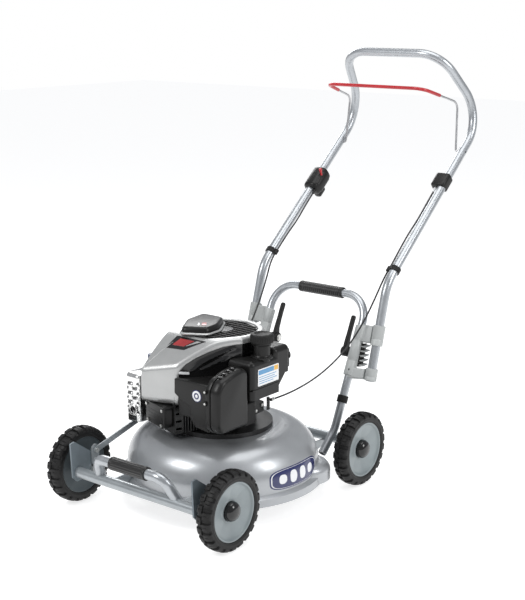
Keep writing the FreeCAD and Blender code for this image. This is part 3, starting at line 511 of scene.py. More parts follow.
def outward_of(points, index):
    """The outward direction of a closed outline at one of its points."""
    tangent = points[(index + 1) % len(points)] - points[index - 1]
    return Vector((tangent.y, -tangent.x)).normalized()


def trim_height(x, y):
    """Lower edge of the silver part: the front panel reaches down, and the sides sweep up to the fan ring."""
    if y < -168 and x < 6:
        return 290.0
    return between(y, TRIM)


plan = cover_outline()
normals = [outward_of(plan, index) for index in range(len(plan))]
centre_2d = Vector((0, CRANK_Y))
silver_rings = []
EDGE, HOLE_ROLL, TOP_ROWS = 9.0, 2.2, 22


def hole_point(point):
    """The point on the fan opening's edge straight inward of an outline point."""
    return centre_2d + (point - centre_2d).normalized() * HOLE_R


for drop, grow in ((9, 0.0), (5, 0.0), (2, 0.2), (0.7, 0.9), (0.0, HOLE_ROLL)):
    ring = []
    for point in plan:
        start = hole_point(point)
        start = start + (start - centre_2d).normalized() * grow
        ring.append((start.x, start.y, cover_height(start.x, start.y) - drop))
    silver_rings.append(ring)
for row in range(1, TOP_ROWS + 1):
    share = row / TOP_ROWS
    ring = []
    for point, normal in zip(plan, normals):
        start = hole_point(point)
        start = start + (start - centre_2d).normalized() * HOLE_ROLL
        end = point - normal * EDGE
        here = start.lerp(end, share)
        ring.append((here.x, here.y, cover_height(here.x, here.y)))
    silver_rings.append(ring)
for step in range(1, 7):
    angle = math.pi / 2 * step / 6
    ring = []
    for point, normal in zip(plan, normals):
        here = point - normal * (EDGE * (1 - math.sin(angle)))
        ring.append((here.x, here.y, cover_height(here.x, here.y) - EDGE * (1 - math.cos(angle))))
    silver_rings.append(ring)
for step in range(1, 9):
    ring = []
    for point in plan:
        top = cover_height(point.x, point.y) - EDGE
        low = min(trim_height(point.x, point.y), top - 1.0)
        ring.append((point.x, point.y, top + (low - top) * step / 8))
    silver_rings.append(ring)
silver = loft("cover_silver", silver_rings, "shroud_silver", "chassis", node="top_shroud", closed_ends=False,
              sharp=48)
thicken(silver, SHEET)

black_rings = []
INSET = 1.6
for step in range(45):
    ring = []
    for point, normal in zip(plan, normals):
        top = min(trim_height(point.x, point.y), cover_height(point.x, point.y) - EDGE - 1.0) + 3.0
        z = top + (SKIRT_BOTTOM - 1.0 - top) * step / 44
        swell = 0.0
        if point.x > 0:
            for ridge in RIDGES:
                reach = smooth_step(point.y, ridge[0][0] - 8, ridge[0][0] + 6)
                reach *= 1 - smooth_step(point.y, ridge[-1][0] - 4, ridge[-1][0] + 10)
                swell += 3.2 * reach * math.exp(-((z - between(point.y, ridge)) / 2.6) ** 2)
            belly = smooth_step(point.y, -170, -120) * (1 - smooth_step(point.y, -60, -10))
            swell += 3.0 * belly * smooth_step(top - z, 6, 30)
        here = point + normal * (swell - INSET)
        ring.append((here.x, here.y, z))
    black_rings.append(ring)
housing = loft("cover_black", black_rings, "gloss_black", "chassis", node="blower_housing", closed_ends=False,
               sharp=60)
thicken(housing, SHEET)

# ---------------------------------------------------------------- fan grille and cap
for step in range(11):
    offset = -88 if step == 10 else 16 * step - 72
    reach = math.sqrt(max(91.0 ** 2 - offset ** 2, 1.0))
    section = [(-3.9, 438), (-3.4, 444.2), (-2.2, 446.2), (0, 446.8), (2.2, 446.2), (3.4, 444.2), (3.9, 438)]
    rings = []
    for x in (-reach, -reach * 0.5, 0, reach * 0.5, reach):
        crown = 2.0 * (1 - (x / 92) ** 2)
        rings.append([(x, CRANK_Y + offset + across, z + crown - 2.0) for across, z in section])
    bar = loft("grille_bar_%02d" % step, rings, "matte_black", "chassis", sharp=40)
    if step == 0:
        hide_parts("grille")
turned("grille_ring", [(92.2, 436), (92.2, 443.5), (90.6, 445.0), (88.6, 444.2), (87.8, 441), (87.8, 436)],
       (0, CRANK_Y, 0), (0, 0, 1), "gloss_black", "chassis", steps=96, closed_ends=True)
turned("grille_hub", [(30, 436), (30, 444.8), (28, 446.6), (0.1, 446.8)], (0, CRANK_Y, 0), (0, 0, 1), "gloss_black",
       "chassis", steps=48)

CAP_PLAN = [(-97, -28), (-103, 50), (-31, 53), (13, -18), (16, -70), (-46, -104)]


def eased(corners, grow, radius, steps=4):
    """A closed outline with its corners rounded and the whole moved outward by grow."""
    middle = Vector((sum(x for x, y in corners) / len(corners), sum(y for x, y in corners) / len(corners)))
    out = []
    for index, corner_b in enumerate(corners):
        b = Vector(corner_b)
        b = b + (b - middle).normalized() * grow
        a = Vector(corners[index - 1])
        a = a + (a - middle).normalized() * grow
        c = Vector(corners[(index + 1) % len(corners)])
        c = c + (c - middle).normalized() * grow
        start = b + (a - b).normalized() * radius
        end = b + (c - b).normalized() * radius
        for step in range(steps + 1):
            t = step / steps
            point = start * (1 - t) ** 2 + b * 2 * t * (1 - t) + end * t * t
            out.append((point.x, point.y))
    return out


def cap_rings(levels):
    return [[(x, y, z) for x, y in eased(CAP_PLAN, grow, radius)] for grow, radius, z in levels]


loft("cap_black", cap_rings([(-2, 12, 447), (-2, 12, 456), (-3.5, 12, 460), (-7, 12, 464), (-10, 11, 465.4),
                             (-13, 11, 466)]),
     "satin_black", "chassis", node="top_cap", sharp=30)
loft("cap_trim", cap_rings([(-1, 12, 446.6), (4.5, 13, 446.8), (5.2, 13, 448.6), (3.6, 13, 450.6), (0, 12, 451.6),
                            (-2.4, 12, 450)]), "shroud_silver", "chassis", sharp=50)
block("cap_badge", rounded(26, 12, 2), "z", 0, 1.0, "red_print", "chassis", bevel=0.3,
      move=lying((-18, -44, 465.8), (0.62, -0.78, 0), (0.78, 0.62, 0)))
block("cap_badge_edge", rounded(26, 4, 1.5), "z", 0, 1.0, "white_print", "chassis", bevel=0.3,
      move=lying((-28, -54, 465.8), (0.62, -0.78, 0), (0.78, 0.62, 0)))


def on_nose(x, y, lift):
    """A point on the engine cover's nose, raised by lift."""
    return Vector((x, y, cover_height(x, y) + lift))


def draped(name, corners, lift, thick, finish, cells=10):
    """A thin panel lying on the sloping nose, between four plan corners."""
    a, b, c, d = [Vector(corner) for corner in corners]
    points = []
    for layer in (lift, lift + thick):
        for row in range(cells + 1):
            for column in range(cells + 1):
                u, v = column / cells, row / cells
                here = a.lerp(b, u).lerp(d.lerp(c, u), v)
                points.append(on_nose(here.x, here.y, layer))
    size = cells + 1
    faces = []
    for row in range(cells):
        for column in range(cells):
            first = row * size + column
            quad = (first, first + 1, first + size + 1, first + size)
            faces.append(quad)
            faces.append(tuple(index + size * size for index in quad))
    rim = [column for column in range(size)]
    rim += [row * size + cells for row in range(1, size)]
    rim += [cells * size + column for column in range(cells - 1, -1, -1)]
    rim += [row * size for row in range(cells - 1, 0, -1)]
    for index, first in enumerate(rim):
        after = rim[(index + 1) % len(rim)]
        faces.append((first, after, after + size * size, first + size * size))
    return add_mesh(name, points, faces, finish, "chassis", sharp=30)


draped("nose_panel", [(-66, -138), (-8, -134), (34, -98), (-62, -98)], -0.5, 1.6, "gloss_black")
draped("nose_panel_red", [(-52, -128), (-16, -126), (2, -106), (-44, -106)], 0.9, 1.4, "red_print")
draped("nose_panel_light", [(-10, -124), (-4, -120), (22, -104), (10, -104)], 0.9, 1.2, "shroud_silver")

# ---------------------------------------------------------------- air filter
block("filter_front", [(9, 361), (8, 322), (34, 306), (58, 297), (64, 262), (76, 247), (121, 240.5), (121, 361)], "y",
      -191, -176, "satin_black", "chassis", bevel=4)
block("filter_wedge", [(10, -178), (121, -178), (121, -87), (75, -87), (9, -171)], "z", 262, 357, "satin_black",
      "chassis", bevel=7)
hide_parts("air_filter_base")


def cover_side(grow):
    """Side outline of the filter cover, moved outward by grow."""
    corners = [(-181, 239), (-198, 258), (-198, 352), (-180, 376), (-135, 389), (-99, 393), (-81, 384), (-81, 239)]
    return eased(corners, grow - 3.0, 8.5, steps=4)


filter_rings = []
for x, grow in ((118.0, -4), (118.0, 2.2), (119.5, 3.2), (129.0, 3.2), (131.0, 2.4), (131.6, -0.6), (134.0, -0.6),
                (134.8, 1.8), (138.0, 2.6), (145.0, 2.4), (150.0, 1.6), (153.5, 0.2), (156.5, -2.0), (158.6, -4.6),
                (159.7, -7.6), (160.0, -9.6)):
    filter_rings.append([(x, y, z) for y, z in cover_side(grow)])
loft("filter_lid", filter_rings, "satin_black", "chassis", node="air_filter_cover", sharp=50)
for index, y in enumerate((-168, -152, -136, -120)):
    top = between(y, [(-181, 376), (-135, 390), (-99, 394)])
    block("filter_vent_%d" % index, rounded(9, 5, 1.5), "z", 0, 3.2, "gloss_black", "chassis", bevel=0.8,
          move=lying((140, y, top), (1, 0, 0), (0, 1, 0.28)))
for index, z in enumerate((348, 318)):
    block("filter_latch_%d" % index, rounded(9, 12, 2), "y", -3.0, 1.0, "satin_black", "chassis", bevel=0.8,
          move=lambda a, b, c, z=z: Vector((119 + a, -199 + b, z + c)))
    turned("filter_screw_%d" % index, [(3.2, 0), (3.2, 1.2), (2.4, 2.0), (0.1, 2.2)], (119, -201.5, z), (0, -1, 0),
           "zinc_steel", "chassis", steps=24)
turned("round_sticker_rim", [(15.5, 0), (15.5, 0.5), (15.0, 0.8), (0.1, 0.8)], (84, -191, 329), (0, -1, 0),
       "navy_print", "chassis", steps=48)
turned("round_sticker", [(13.4, 0.6), (13.4, 1.1), (13.0, 1.3), (0.1, 1.3)], (84, -191, 329), (0, -1, 0),
       "white_print", "chassis", steps=48)
turned("round_sticker_middle", [(8.2, 1.2), (8.2, 1.6), (7.9, 1.7), (4.6, 1.7), (4.4, 1.2)], (84, -191, 329),
       (0, -1, 0), "navy_print", "chassis", steps=48)
block("side_mark", rounded(27, 6.5, 1.5), "z", -1.0, 0.9, "white_print", "chassis", bevel=0.3,
      move=lying((16, -161, 368), (0.61, 0.79, -0.12), (0, 0, 1)))

# ---------------------------------------------------------------- fuel tank and cap
NECK = (145.0, -10.0)


def knurl(angle, radius, distance):
    return (0.9 * (abs(math.cos(16 * angle)) - 0.6), 0.0) if radius > 29.5 and 2.5 < distance < 17.5 else (0.0, 0.0)


turned("fuel_cap_knurled", [(20, 0.1), (29.6, 0.1), (30.6, 1.0), (30.6, 2.4), (30.4, 2.8), (30.2, 6), (29.9, 12),
                            (29.6, 17.2), (28.6, 19.6), (26.4, 21.2), (22, 21.9), (19, 21.6), (17.5, 20.2),
                            (0.1, 20.0)], (*NECK, 440), (0, 0, 1), "matte_black", "fuel_cap", steps=192, ripple=knurl,
       node="fuel_cap", sharp=50)
turned("neck_flange", [(21.2, 0), (27, 0.2), (28.5, 1.4), (28.5, 4.2), (27, 5.6), (23, 6.4), (21.2, 9)],
       (*NECK, 398), (0, 0, 1), "satin_black", "chassis", steps=64, closed_ends=False)
turned("neck_bead", [(21.1, 0), (22.6, 0.8), (22.6, 3.0), (21.1, 3.8)], (*NECK, 430), (0, 0, 1), "satin_black",
       "chassis", steps=64, closed_ends=False)
block("tank_seam", [(y, z) for y, z in ((-73, 325), (35, 325), (35, 328), (-73, 328))], "x", 150, 165.6,
      "satin_black", "chassis", bevel=0.9)
turned("tank_knob", [(9, 0), (9, 7), (8.2, 9.4), (5.5, 10.6), (0.1, 11)], (150, 84, 385), (0.55, 0.83, 0),
       "satin_black", "chassis", steps=32)
block("tank_label", rounded(84, 44, 2.5), "x", 164.05, 164.6, "white_print", "chassis", bevel=0.2,
      move=lambda x, y, z: Vector((x, y - 8, z + 356)))
block("tank_label_head", rounded(62, 12, 1), "x", 164.5, 164.9, "sky_print", "chassis", bevel=0.15,
      move=lambda x, y, z: Vector((x, y - 17, z + 369)))
block("tank_label_mark", rounded(16, 12, 1), "x", 164.5, 164.9, "amber_print", "chassis", bevel=0.15,
      move=lambda x, y, z: Vector((x, y + 23.5, z + 369)))
for index in range(4):
    width = (70, 64, 72, 58)[index]
    line_at = Vector((0, width / 2 - 46, 357 - 5.5 * index))
    block("tank_label_line_%d" % index, rounded(width, 1.8, 0.6), "x", 164.5, 164.8, "sky_print", "chassis",
          bevel=0.1, move=lambda x, y, z, line_at=line_at: Vector((x, y, z)) + line_at)

# ---------------------------------------------------------------- cylinder side
TURN = Matrix.Rotation(math.radians(-18), 3, "Z")


def at_cylinder(x, y, z):
    """A point given straight ahead of the crank, turned to the cylinder's own angle."""
    here = TURN @ Vector((x, y, z))
    return Vector((here.x, here.y + CRANK_Y, here.z))


block("rocker_box", [(-48, 232), (-40, 221), (40, 221), (48, 232), (49, 276), (43, 283), (-43, 283), (-49, 276)], "y",
      -203.5, -176, "satin_black", "chassis", bevel=5, move=at_cylinder)
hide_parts("rocker_cover")
for index, z in enumerate((240, 250, 260)):
    block("rocker_rib_%d" % index, [(-36, z - 1.6), (36, z - 1.6), (36, z + 1.6), (-36, z + 1.6)], "y", -204, -201,
          "satin_black", "chassis", bevel=1.0, move=at_cylinder)
block("rocker_flange", [(-50, 276), (50, 276), (50, 280), (-50, 280)], "y", -206, -176, "engine_metal", "chassis",
      bevel=1.2, move=at_cylinder)
for index, (x, z) in enumerate(((-40, 270), (40, 270), (-34, 229), (34, 229))):
    place = at_cylinder(x, -203, z)
    turned("rocker_screw_%d" % index, [(4.6, 0), (4.6, 3.0), (3.8, 3.8), (0.1, 4.0)], place,
           TURN @ Vector((0, -1, 0)), "zinc_steel", "chassis", steps=6, sharp=20)

# ---------------------------------------------------------------- muffler guard
GUARD_MID = Vector((-163.0, -112.0))
GUARD_COLUMNS = 117
guard_loop = [(x + GUARD_MID.x, y + GUARD_MID.y) for x, y in rounded(53.5, 107.5, 13, steps=6)]
loop = spaced(guard_loop, GUARD_COLUMNS)
columns = len(loop)
levels = [206 + 3.2 * step for step in range(38)] + [325.8, 328.6, 330.8, 332.4, 333.4, 333.8]
points = []
for z in levels:
    shrink = 0.0
    if z > 323:
        shrink = 11 * (1 - math.sqrt(max(1 - ((z - 323) / 11) ** 2, 0)))
    for here in loop:
        toward = (GUARD_MID - here)
        inner = here + toward.normalized() * shrink
        emboss = 0.35 * math.sin(z / 4.07)
        inner = inner + toward.normalized() * emboss * (1 if z < 320 else 0)
        points.append((inner.x, inner.y, z))
faces = []
for row in range(len(levels) - 1):
    for column in range(columns):
        here = loop[column]
        z = (levels[row] + levels[row + 1]) / 2
        band = int((z - 212) // 12.8)
        in_band = (z - 212) % 12.8
        phase = (column + 6 * (band % 2)) % 12
        slot_here = 4.0 < in_band < 11.0 and phase < 7 and 225 < z < 318
        outlet = here.y < -150 and math.dist((here.x, z), (-160, 238)) < 14
        if (slot_here or outlet) and here.x < -142:
            continue
        after = (column + 1) % columns
        faces.append((row * columns + column, row * columns + after,
                      (row + 1) * columns + after, (row + 1) * columns + column))
faces.append(tuple(range((len(levels) - 1) * columns, len(levels) * columns)))
guard = add_mesh("guard_shell", points, faces, "chrome_guard", "chassis", node="muffler_guard", sharp=60)
thicken(guard, 0.0016)
turned("outlet_ring", [(8.8, -4), (8.8, 1.6), (10, 2.8), (12.6, 2.8), (14.2, 1.4), (14.6, -1)], (-160, -166, 238),
       (0, -1, 0), "chrome_guard", "chassis", steps=48, closed_ends=False)

# ---------------------------------------------------------------- deck label
DECK_R, DECK_ROUND, DECK_TOP = 253.0, 90.0, 190.0


def on_deck(angle, along, lift):
    """A point on the deck's side: angle about the crank, and distance up the side from the start of the round."""
    if along <= 0:
        radius, z = DECK_R + lift, DECK_TOP - DECK_ROUND + along
    else:
        turn = along / DECK_ROUND
        radius = DECK_R - DECK_ROUND + (DECK_ROUND + lift) * math.cos(turn)
        z = DECK_TOP - DECK_ROUND + (DECK_ROUND + lift) * math.sin(turn)
    return (radius * math.cos(angle), CRANK_Y + radius * math.sin(angle), z)


def deck_patch(name, middle, half_angle, half_up, power, lift, finish, hole=0.0):
    """A rounded oblong sticker lying on the deck's side."""
    steps = 96
    rings = []
    layers = 10
    for layer in range(layers + 1):
        share = hole + (1 - hole) * layer / layers
        ring = []
        for step in range(steps):
            turn = 2 * math.pi * step / steps
            c, s = math.cos(turn), math.sin(turn)
            across = math.copysign(abs(c) ** (2 / power), c) * share
            up = math.copysign(abs(s) ** (2 / power), s) * share
            edge = 0.0 if layer < layers else -0.4
            ring.append(on_deck(middle[0] + half_angle * across, middle[1] + half_up * up, lift + edge))
        rings.append(ring)
    return loft(name, rings, finish, "chassis", closed_ends=hole == 0.0, sharp=60)


LABEL = (math.radians(-0.5), 8.0)
HALF_ANGLE, HALF_UP = math.radians(22), 27.0
deck_patch("deck_label", LABEL, HALF_ANGLE, HALF_UP, 3.6, 0.55, "navy_print")
deck_patch("deck_label_line", LABEL, HALF_ANGLE * 0.955, HALF_UP * 0.90, 3.6, 0.85, "white_print", hole=0.965)
for index in range(4):
    middle = (LABEL[0] + HALF_ANGLE * (-0.57 + 0.38 * index), LABEL[1])
    deck_patch("deck_label_bar_%d" % index, middle, HALF_ANGLE * 0.13, HALF_UP * (0.44, 0.60, 0.60, 0.44)[index], 2.6,
               0.9, "white_print")

# ---------------------------------------------------------------- levers and lifting handle trim
for label, side in (("left", 1), ("right", -1)):
    path = [(393, 318, 12.5), (394, 334, 11.5), (398, 350, 8.6), (409, 374, 6.9), (420, 398, 6.9), (427, 412, 7.0)]
    front, rear = [], []
    for index, (y, z, half) in enumerate(path):
        before = path[max(index - 1, 0)]
        after = path[min(index + 1, len(path) - 1)]
        along = Vector((after[0] - before[0], after[1] - before[1])).normalized()
        front.append((y - along.y * half, z + along.x * half))
        rear.append((y + along.y * half, z - along.x * half))
    tip = []
    for step in range(1, 6):
        angle = math.pi * step / 6
        along = Vector((7, 14)).normalized()
        across = Vector((-along.y, along.x))
        point = Vector((427, 412)) + across * (7.0 * math.cos(angle)) + along * (7.0 * math.sin(angle))
        tip.append((point.x, point.y))
    outline = front + tip + list(reversed(rear))
    block("lever_arm_" + label, outline, "x", 119.2, 128.8, "matte_black", "lever_" + label,
          bevel=2.6, move=sided(side), sharp=30)
    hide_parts("clamp_lever_" + label)
    turned("lever_boss_" + label, [(4.1, 0), (12.6, 0), (13.8, 1.4), (14, 3), (14, 22), (13.4, 24.6), (11.6, 26),
                                   (4.1, 26)], (side * 113, 393, 322), (side, 0, 0), "matte_black", "lever_" + label,
           steps=48, closed_ends=False)
    turned("pin_washer_" + label, [(9.5, 0.1), (9.5, 1.2), (8.8, 1.7), (6.4, 1.7)], (side * 113, 393, 322),
           (-side, 0, 0), "zinc_steel", "chassis", steps=40, closed_ends=False)

# ---------------------------------------------------------------- guide blocks
LEG_X, HANDLE_X = 161, 217
LEG_WAY = Vector((0, 158, 344)).normalized()
HANDLE_WAY = Vector((0, 75, 263)).normalized()


def on_leg(z):
    return Vector((LEG_X, 290 + (z - 128) * 158 / 344, z))


def on_handle(z):
    return Vector((HANDLE_X, 376 + (z - 256) * 75 / 263, z))


def guide_bridge(name, side, z, length, depth):
    """The arm from the sleeve on the leg across to a collar on the handlebar tube."""
    rings = []
    for share in (0.05, 0.3, 0.5, 0.75):
        middle = on_leg(z).lerp(on_handle(z), share)
        along = LEG_WAY.lerp(HANDLE_WAY, share).normalized()
        square = along.cross(Vector((1, 0, 0))).normalized()
        ring = []
        for across, up in rounded(depth * (1 - 0.12 * math.sin(math.pi * share)), length, 5):
            point = middle + square * across + along * up
            ring.append((side * point.x, point.y, point.z))
        rings.append(ring)
    loft(name, rings, "block_plastic", "chassis", sharp=40)


for label, side in (("left", 1), ("right", -1)):
    sleeve_rings = []
    square = LEG_WAY.cross(Vector((1, 0, 0))).normalized()
    for distance, grow in ((0, -1.6), (1.2, -0.4), (3, 0), (40, 0), (41, -0.7), (43, -0.7), (44, 0), (98, 0),
                           (99, -0.7), (101, -0.7), (102, 0), (139, 0), (140.8, -0.4), (142, -1.6)):
        middle = on_leg(268) + LEG_WAY * distance
        sleeve_rings.append([])
        for across, up in rounded(30 + 2 * grow, 31 + 2 * grow, 13 + grow):
            point = middle + Vector((across, 0, 0)) + square * up
            sleeve_rings[-1].append((side * point.x, point.y, point.z))
    sleeve = loft("guide_sleeve_" + label, sleeve_rings, "block_plastic", "chassis", sharp=40)
    if side > 0:
        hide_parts("guide_blocks")
    for part, z, length in (("low", 258, 34), ("top", 352, 56)):
        start = on_handle(z)
        rim = [(12.7, 0.2), (16.0, 0), (17.0, 1.0), (17.0, length * 0.3), (16.4, length * 0.3 + 0.8),
               (16.4, length * 0.3 + 2.0), (17.0, length * 0.3 + 2.8), (17.0, length - 1), (16.0, length),
               (12.7, length - 0.2), (12.7, 0.2)]
        turned("guide_collar_%s_%s" % (part, label), rim, (side * start.x, start.y, start.z), HANDLE_WAY,
               "block_plastic", "chassis", steps=48, closed_ends=False, sharp=40)
        guide_bridge("guide_arm_%s_%s" % (part, label), side, z + length * 0.48, length * 0.86, 28)
    # A thin matte black plate in the gap between the leg sleeve and the handle collars: painted shade of the slot.
    plate = [(y, z) for y, z in ((372, 292), (394, 288), (414, 350), (392, 354))]
    block("guide_slot_shade_" + label, plate, "x", 176, 180, "matte_black", "chassis", bevel=1.0,
          move=sided(side))
    for step in range(5):
        place = on_handle(296 + 12.5 * step)
        rib = [(place.y - 13, place.z - 1.6), (place.y + 12, place.z - 1.6), (place.y + 12, place.z + 1.6),
               (place.y - 13, place.z + 1.6)]
        block("guide_rib_%d_%s" % (step, label), rib, "x", 172, 193, "block_plastic", "chassis", bevel=0.8,
              move=sided(side))
    # A flat matte black disc on the sleeve stands in for a hole: painted shade of its dark inside.
    hole = on_leg(282) + Vector((4, 0, 0)) - square * 15.3
    turned("guide_hole_shade_" + label, [(0.1, 0), (2.6, 0), (3.2, -0.4)], (side * hole.x, hole.y, hole.z), -square,
           "matte_black", "chassis", steps=24)

# ---------------------------------------------------------------- controls on the handlebar
UPPER = Vector((0, 496, 419)).normalized()
SQUARE = UPPER.cross(Vector((1, 0, 0))).normalized()


def on_bar(y, side=1):
    return Vector((side * 217, y, 519 + (y - 451) * 419 / 496))


def beside_bar(side, y, inward, lift):
    """A point beside an upper handlebar tube, inward of it and lifted square to it."""
    point = on_bar(y) + Vector((-inward, 0, 0)) + SQUARE * lift
    return Vector((side * point.x, point.y, point.z))


def bar_block(name, side, y, width, depth, length, shift, finish, body, bevel, node=None, radius=5):
    """A rounded housing along the tube: width across, depth square to it, length along it."""
    middle = on_bar(y, side) + UPPER * (length / 2) + Vector((side * shift[0], 0, 0)) + SQUARE * shift[1]
    place = lying(middle, (side, 0, 0), SQUARE)
    made = block(name, rounded(width, depth, radius), "z", -length / 2, length / 2, finish, body, bevel=bevel,
                 move=place, sharp=40)
    if node:
        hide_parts(node)
    return made


THROTTLE_AT, BRAKE_AT = 680, 724
bar_block("throttle_body", -1, THROTTLE_AT, 52, 50, 78, (-4, 2), "satin_black", "handlebar", 11,
          "throttle_housing", 20)
bar_block("throttle_cap", -1, THROTTLE_AT + 6, 30, 42, 58, (-18, 2), "satin_black", "handlebar", 8, None, 14)
bar_block("throttle_skirt", -1, THROTTLE_AT + 4, 24, 22, 34, (-10, 30), "satin_black", "handlebar", 7, None, 9)
bar_block("brake_body", 1, BRAKE_AT, 46, 34, 46, (-9, -1), "satin_black", "handlebar", 5, "brake_cable_box", 9)
bar_block("brake_lid", 1, BRAKE_AT + 4, 32, 4, 34, (-7.5, 15.4), "matte_black", "handlebar", 1.6, None, 1.9)
for name, side, y, inward, lift in (("brake_screw", 1, BRAKE_AT + 12, 7, 17.0),
                                    ("throttle_screw", -1, THROTTLE_AT + 12, 4, 27.6)):
    turned(name, [(4.8, 0), (4.8, 1.6), (3.4, 2.6), (1.2, 2.8), (0.1, 2.2)], beside_bar(side, y, inward, lift),
           SQUARE, "zinc_steel", "handlebar", steps=24)
for side in (1, -1):
    for index, y in enumerate((607, 654)):
        turned("tube_screw_%d_%d" % (index, side), [(3.6, 0), (3.6, 1.0), (2.6, 2.2), (0.1, 2.6)],
               on_bar(y, side) + SQUARE * 12.2, SQUARE, "zinc_steel", "handlebar", steps=24)
finger_dir = (UPPER * 0.38 - SQUARE * 0.92).normalized()
disc_centre = on_bar(THROTTLE_AT) + UPPER * 40
disc_centre = Vector((-(217 - 24.5), disc_centre.y, disc_centre.z))
turned("throttle_disc", [(0.1, -3), (16.5, -3), (17.8, -2), (18, 0), (17.8, 2.2), (16.5, 3.2), (0.1, 3.2)],
       disc_centre, (1, 0, 0), "matte_black", "throttle", steps=64,
       ripple=lambda angle, r, d: ((0.35 * math.cos(36 * angle), 0.0) if r > 17 else (0.0, 0.0)))
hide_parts("throttle_lever")
turned("throttle_finger", [(0.1, 10), (3.2, 10), (3.2, 12), (2.8, 18), (3.2, 26), (4.4, 32), (5.2, 36), (4.8, 39),
                           (2.6, 40.6), (0.1, 41)], disc_centre, finger_dir, "red_sleeve", "throttle", steps=32)
for side, point in ((1, beside_bar(1, BRAKE_AT, 19, 0)), (-1, beside_bar(-1, THROTTLE_AT, 19, 0))):
    finish = "white_print" if side > 0 else "satin_black"
    turned("cable_adjuster_%d" % side, [(2.5, -1), (4.6, -0.5), (4.6, 5), (3.8, 5.6), (3.8, 13), (3.2, 15),
                                        (2.5, 15.6)], point, -UPPER, finish, "handlebar", steps=24, closed_ends=False)

# ---------------------------------------------------------------- control cables
BRAKE_ROUTE = [beside_bar(1, 724, 19, 0), beside_bar(1, 680, 19, 0), beside_bar(1, 634, 20, 3),
               beside_bar(1, 588, 20, -2), beside_bar(1, 546, 20, -1), beside_bar(1, 506, 19, 0),
               beside_bar(1, 464, 19, 0), (191, 430, 474), (182, 396, 420), (172, 356, 372), (161, 312, 334),
               (150, 262, 304), (139, 206, 282), (129, 150, 269), (123, 98, 264), (120, 60, 264)]
THROTTLE_ROUTE = [beside_bar(-1, 680, 19, 0), beside_bar(-1, 634, 19, 0), beside_bar(-1, 588, 20, 3),
                  beside_bar(-1, 546, 20, -1), beside_bar(-1, 506, 19, 0), beside_bar(-1, 464, 19, 0),
                  (-190, 432, 480), (-181, 392, 428), (-170, 352, 392), (-155, 306, 364), (-138, 256, 342),
                  (-116, 204, 322), (-90, 150, 306), (-60, 122, 300)]


def held_cable(name, route, radius, node):
    """A sheathed cable on one smooth line, held at both ends."""
    curve = bpy.data.curves.new(name, "CURVE")
    curve.dimensions = "3D"
    curve.bevel_depth = radius / 1000
    curve.bevel_resolution = 4
    curve.use_fill_caps = True
    spline = curve.splines.new("NURBS")
    spline.points.add(len(route) - 1)
    for point, place in zip(spline.points, route):
        point.co = (*mm(*place), 1.0)
    spline.order_u = 3
    spline.use_endpoint_u = True
    spline.resolution_u = 12
    curve.materials.append(MAT["cable_sheath"])
    piece = bpy.data.objects.new(name, curve)
    bpy.context.collection.objects.link(piece)
    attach(piece, "chassis")
    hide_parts(node)
    return piece


held_cable("brake_line", BRAKE_ROUTE, 2.4, "brake_cable")
held_cable("throttle_line", THROTTLE_ROUTE, 2.4, "throttle_cable")

# ---------------------------------------------------------------- carburettor side
turned("brake_cable_end", [(2.6, -2), (4.4, -1.4), (4.4, 10), (3.2, 12), (2.6, 12.4)], (120, 60, 264), (0, 1, 0),
       "zinc_steel", "chassis", steps=24, closed_ends=False)
block("brake_bracket", [(50, 236), (62, 236), (62, 268), (58, 272), (50, 272)], "x", 112, 114.5, "engine_metal",
      "chassis", bevel=0.8)
block("governor_plate", [(-14, 232), (44, 236), (44, 262), (20, 274), (-14, 268)], "x", 106, 108.5, "engine_metal",
      "chassis", bevel=0.8)
for index, (y, z) in enumerate(((-8, 262), (10, 244), (34, 254), (-2, 240))):
    turned("linkage_screw_%d" % index, [(5, 0), (5, 3), (4, 4), (0.1, 4.2)], (108, y, z), (1, 0, 0), "zinc_steel",
           "chassis", steps=6, sharp=20)
turned("intake_elbow", [(13, 0), (15, 1), (15, 22), (13, 24)], (114, -84, 256), (0, 1, 0), "satin_black", "chassis",
       steps=40)

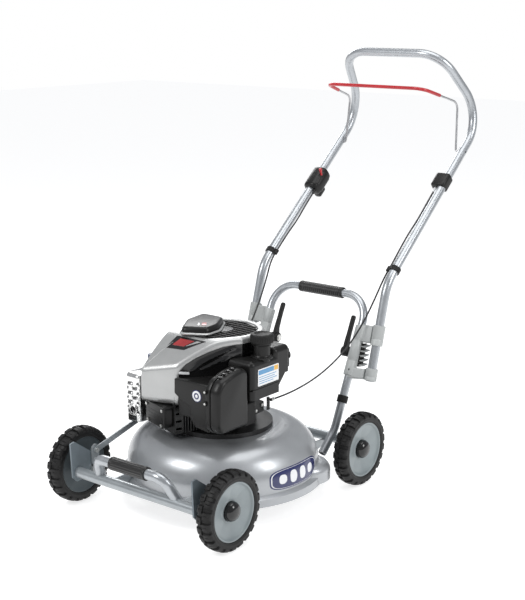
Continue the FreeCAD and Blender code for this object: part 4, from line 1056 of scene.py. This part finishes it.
# ---------------------------------------------------------------- stage
FLOOR_REACH = 12.0
floor_mesh = bpy.data.meshes.new("floor")
floor_mesh.from_pydata([(x * FLOOR_REACH, y * FLOOR_REACH, 0) for x, y in ((-1, -1), (1, -1), (1, 1), (-1, 1))], [],
                       [(0, 1, 2, 3)])
floor = bpy.data.objects.new("floor", floor_mesh)
bpy.context.collection.objects.link(floor)
floor_paper = material("floor", (0.55, 0.55, 0.55), 0.8, grain=20, bump=0.0, spread=0.005)
floor_shader = floor_paper.node_tree.nodes["Principled BSDF"]
floor_shader.inputs["Emission Color"].default_value = (1, 1, 1, 1)
floor_shader.inputs["Emission Strength"].default_value = 0.73
floor_mesh.materials.append(floor_paper)
floor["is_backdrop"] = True

world = bpy.data.worlds.new("studio")
bpy.context.scene.world = world
world.use_nodes = True
sky = world.node_tree
sky.nodes["Background"].inputs["Color"].default_value = (0.94, 0.96, 1.0, 1)
sky.nodes["Background"].inputs["Strength"].default_value = 0.42
backdrop = sky.nodes.new("ShaderNodeBackground")
backdrop.inputs["Color"].default_value = (1, 1, 1, 1)
backdrop.inputs["Strength"].default_value = 1.0
seen = sky.nodes.new("ShaderNodeLightPath")
choose = sky.nodes.new("ShaderNodeMixShader")
sky.links.new(seen.outputs["Is Camera Ray"], choose.inputs["Fac"])
sky.links.new(sky.nodes["Background"].outputs["Background"], choose.inputs[1])
sky.links.new(backdrop.outputs["Background"], choose.inputs[2])
sky.links.new(choose.outputs["Shader"], sky.nodes["World Output"].inputs["Surface"])
bpy.context.scene.view_settings.view_transform = "Standard"


def area_light(name, place, target, width, height, power):
    """A soft box at place that faces target."""
    data = bpy.data.lights.new(name, "AREA")
    data.shape = "RECTANGLE"
    data.size = width
    data.size_y = height
    data.energy = power
    lamp = bpy.data.objects.new(name, data)
    bpy.context.collection.objects.link(lamp)
    lamp.location = place
    aim = Vector(target) - Vector(place)
    lamp.rotation_euler = aim.to_track_quat("-Z", "Y").to_euler()


area_light("key", (-0.9, -2.9, 2.6), (0, -0.1, 0.3), 1.5, 1.1, 52)
area_light("side", (3.0, 0.3, 2.2), (0, 0, 0.4), 1.0, 1.6, 42)
area_light("top", (0.2, 0.1, 3.6), (0, 0, 0.2), 2.6, 2.6, 52)
area_light("back", (-2.4, 2.0, 2.2), (0, 0, 0.5), 1.6, 1.4, 36)

camera_data = bpy.data.cameras.new("camera")
camera_data.lens = 76.52
camera_data.sensor_width = 36.0
camera_data.shift_x = 0.0066
camera_data.shift_y = 0.0008
camera_data.clip_end = 50
camera = bpy.data.objects.new("camera", camera_data)
bpy.context.collection.objects.link(camera)
camera.location = (2.07483, -2.71133, 1.28707)
camera.rotation_euler = (math.radians(90 - 13.44), 0, math.radians(38.66))
bpy.context.scene.camera = camera

# ---------------------------------------------------------------- scene bounds
low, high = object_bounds()
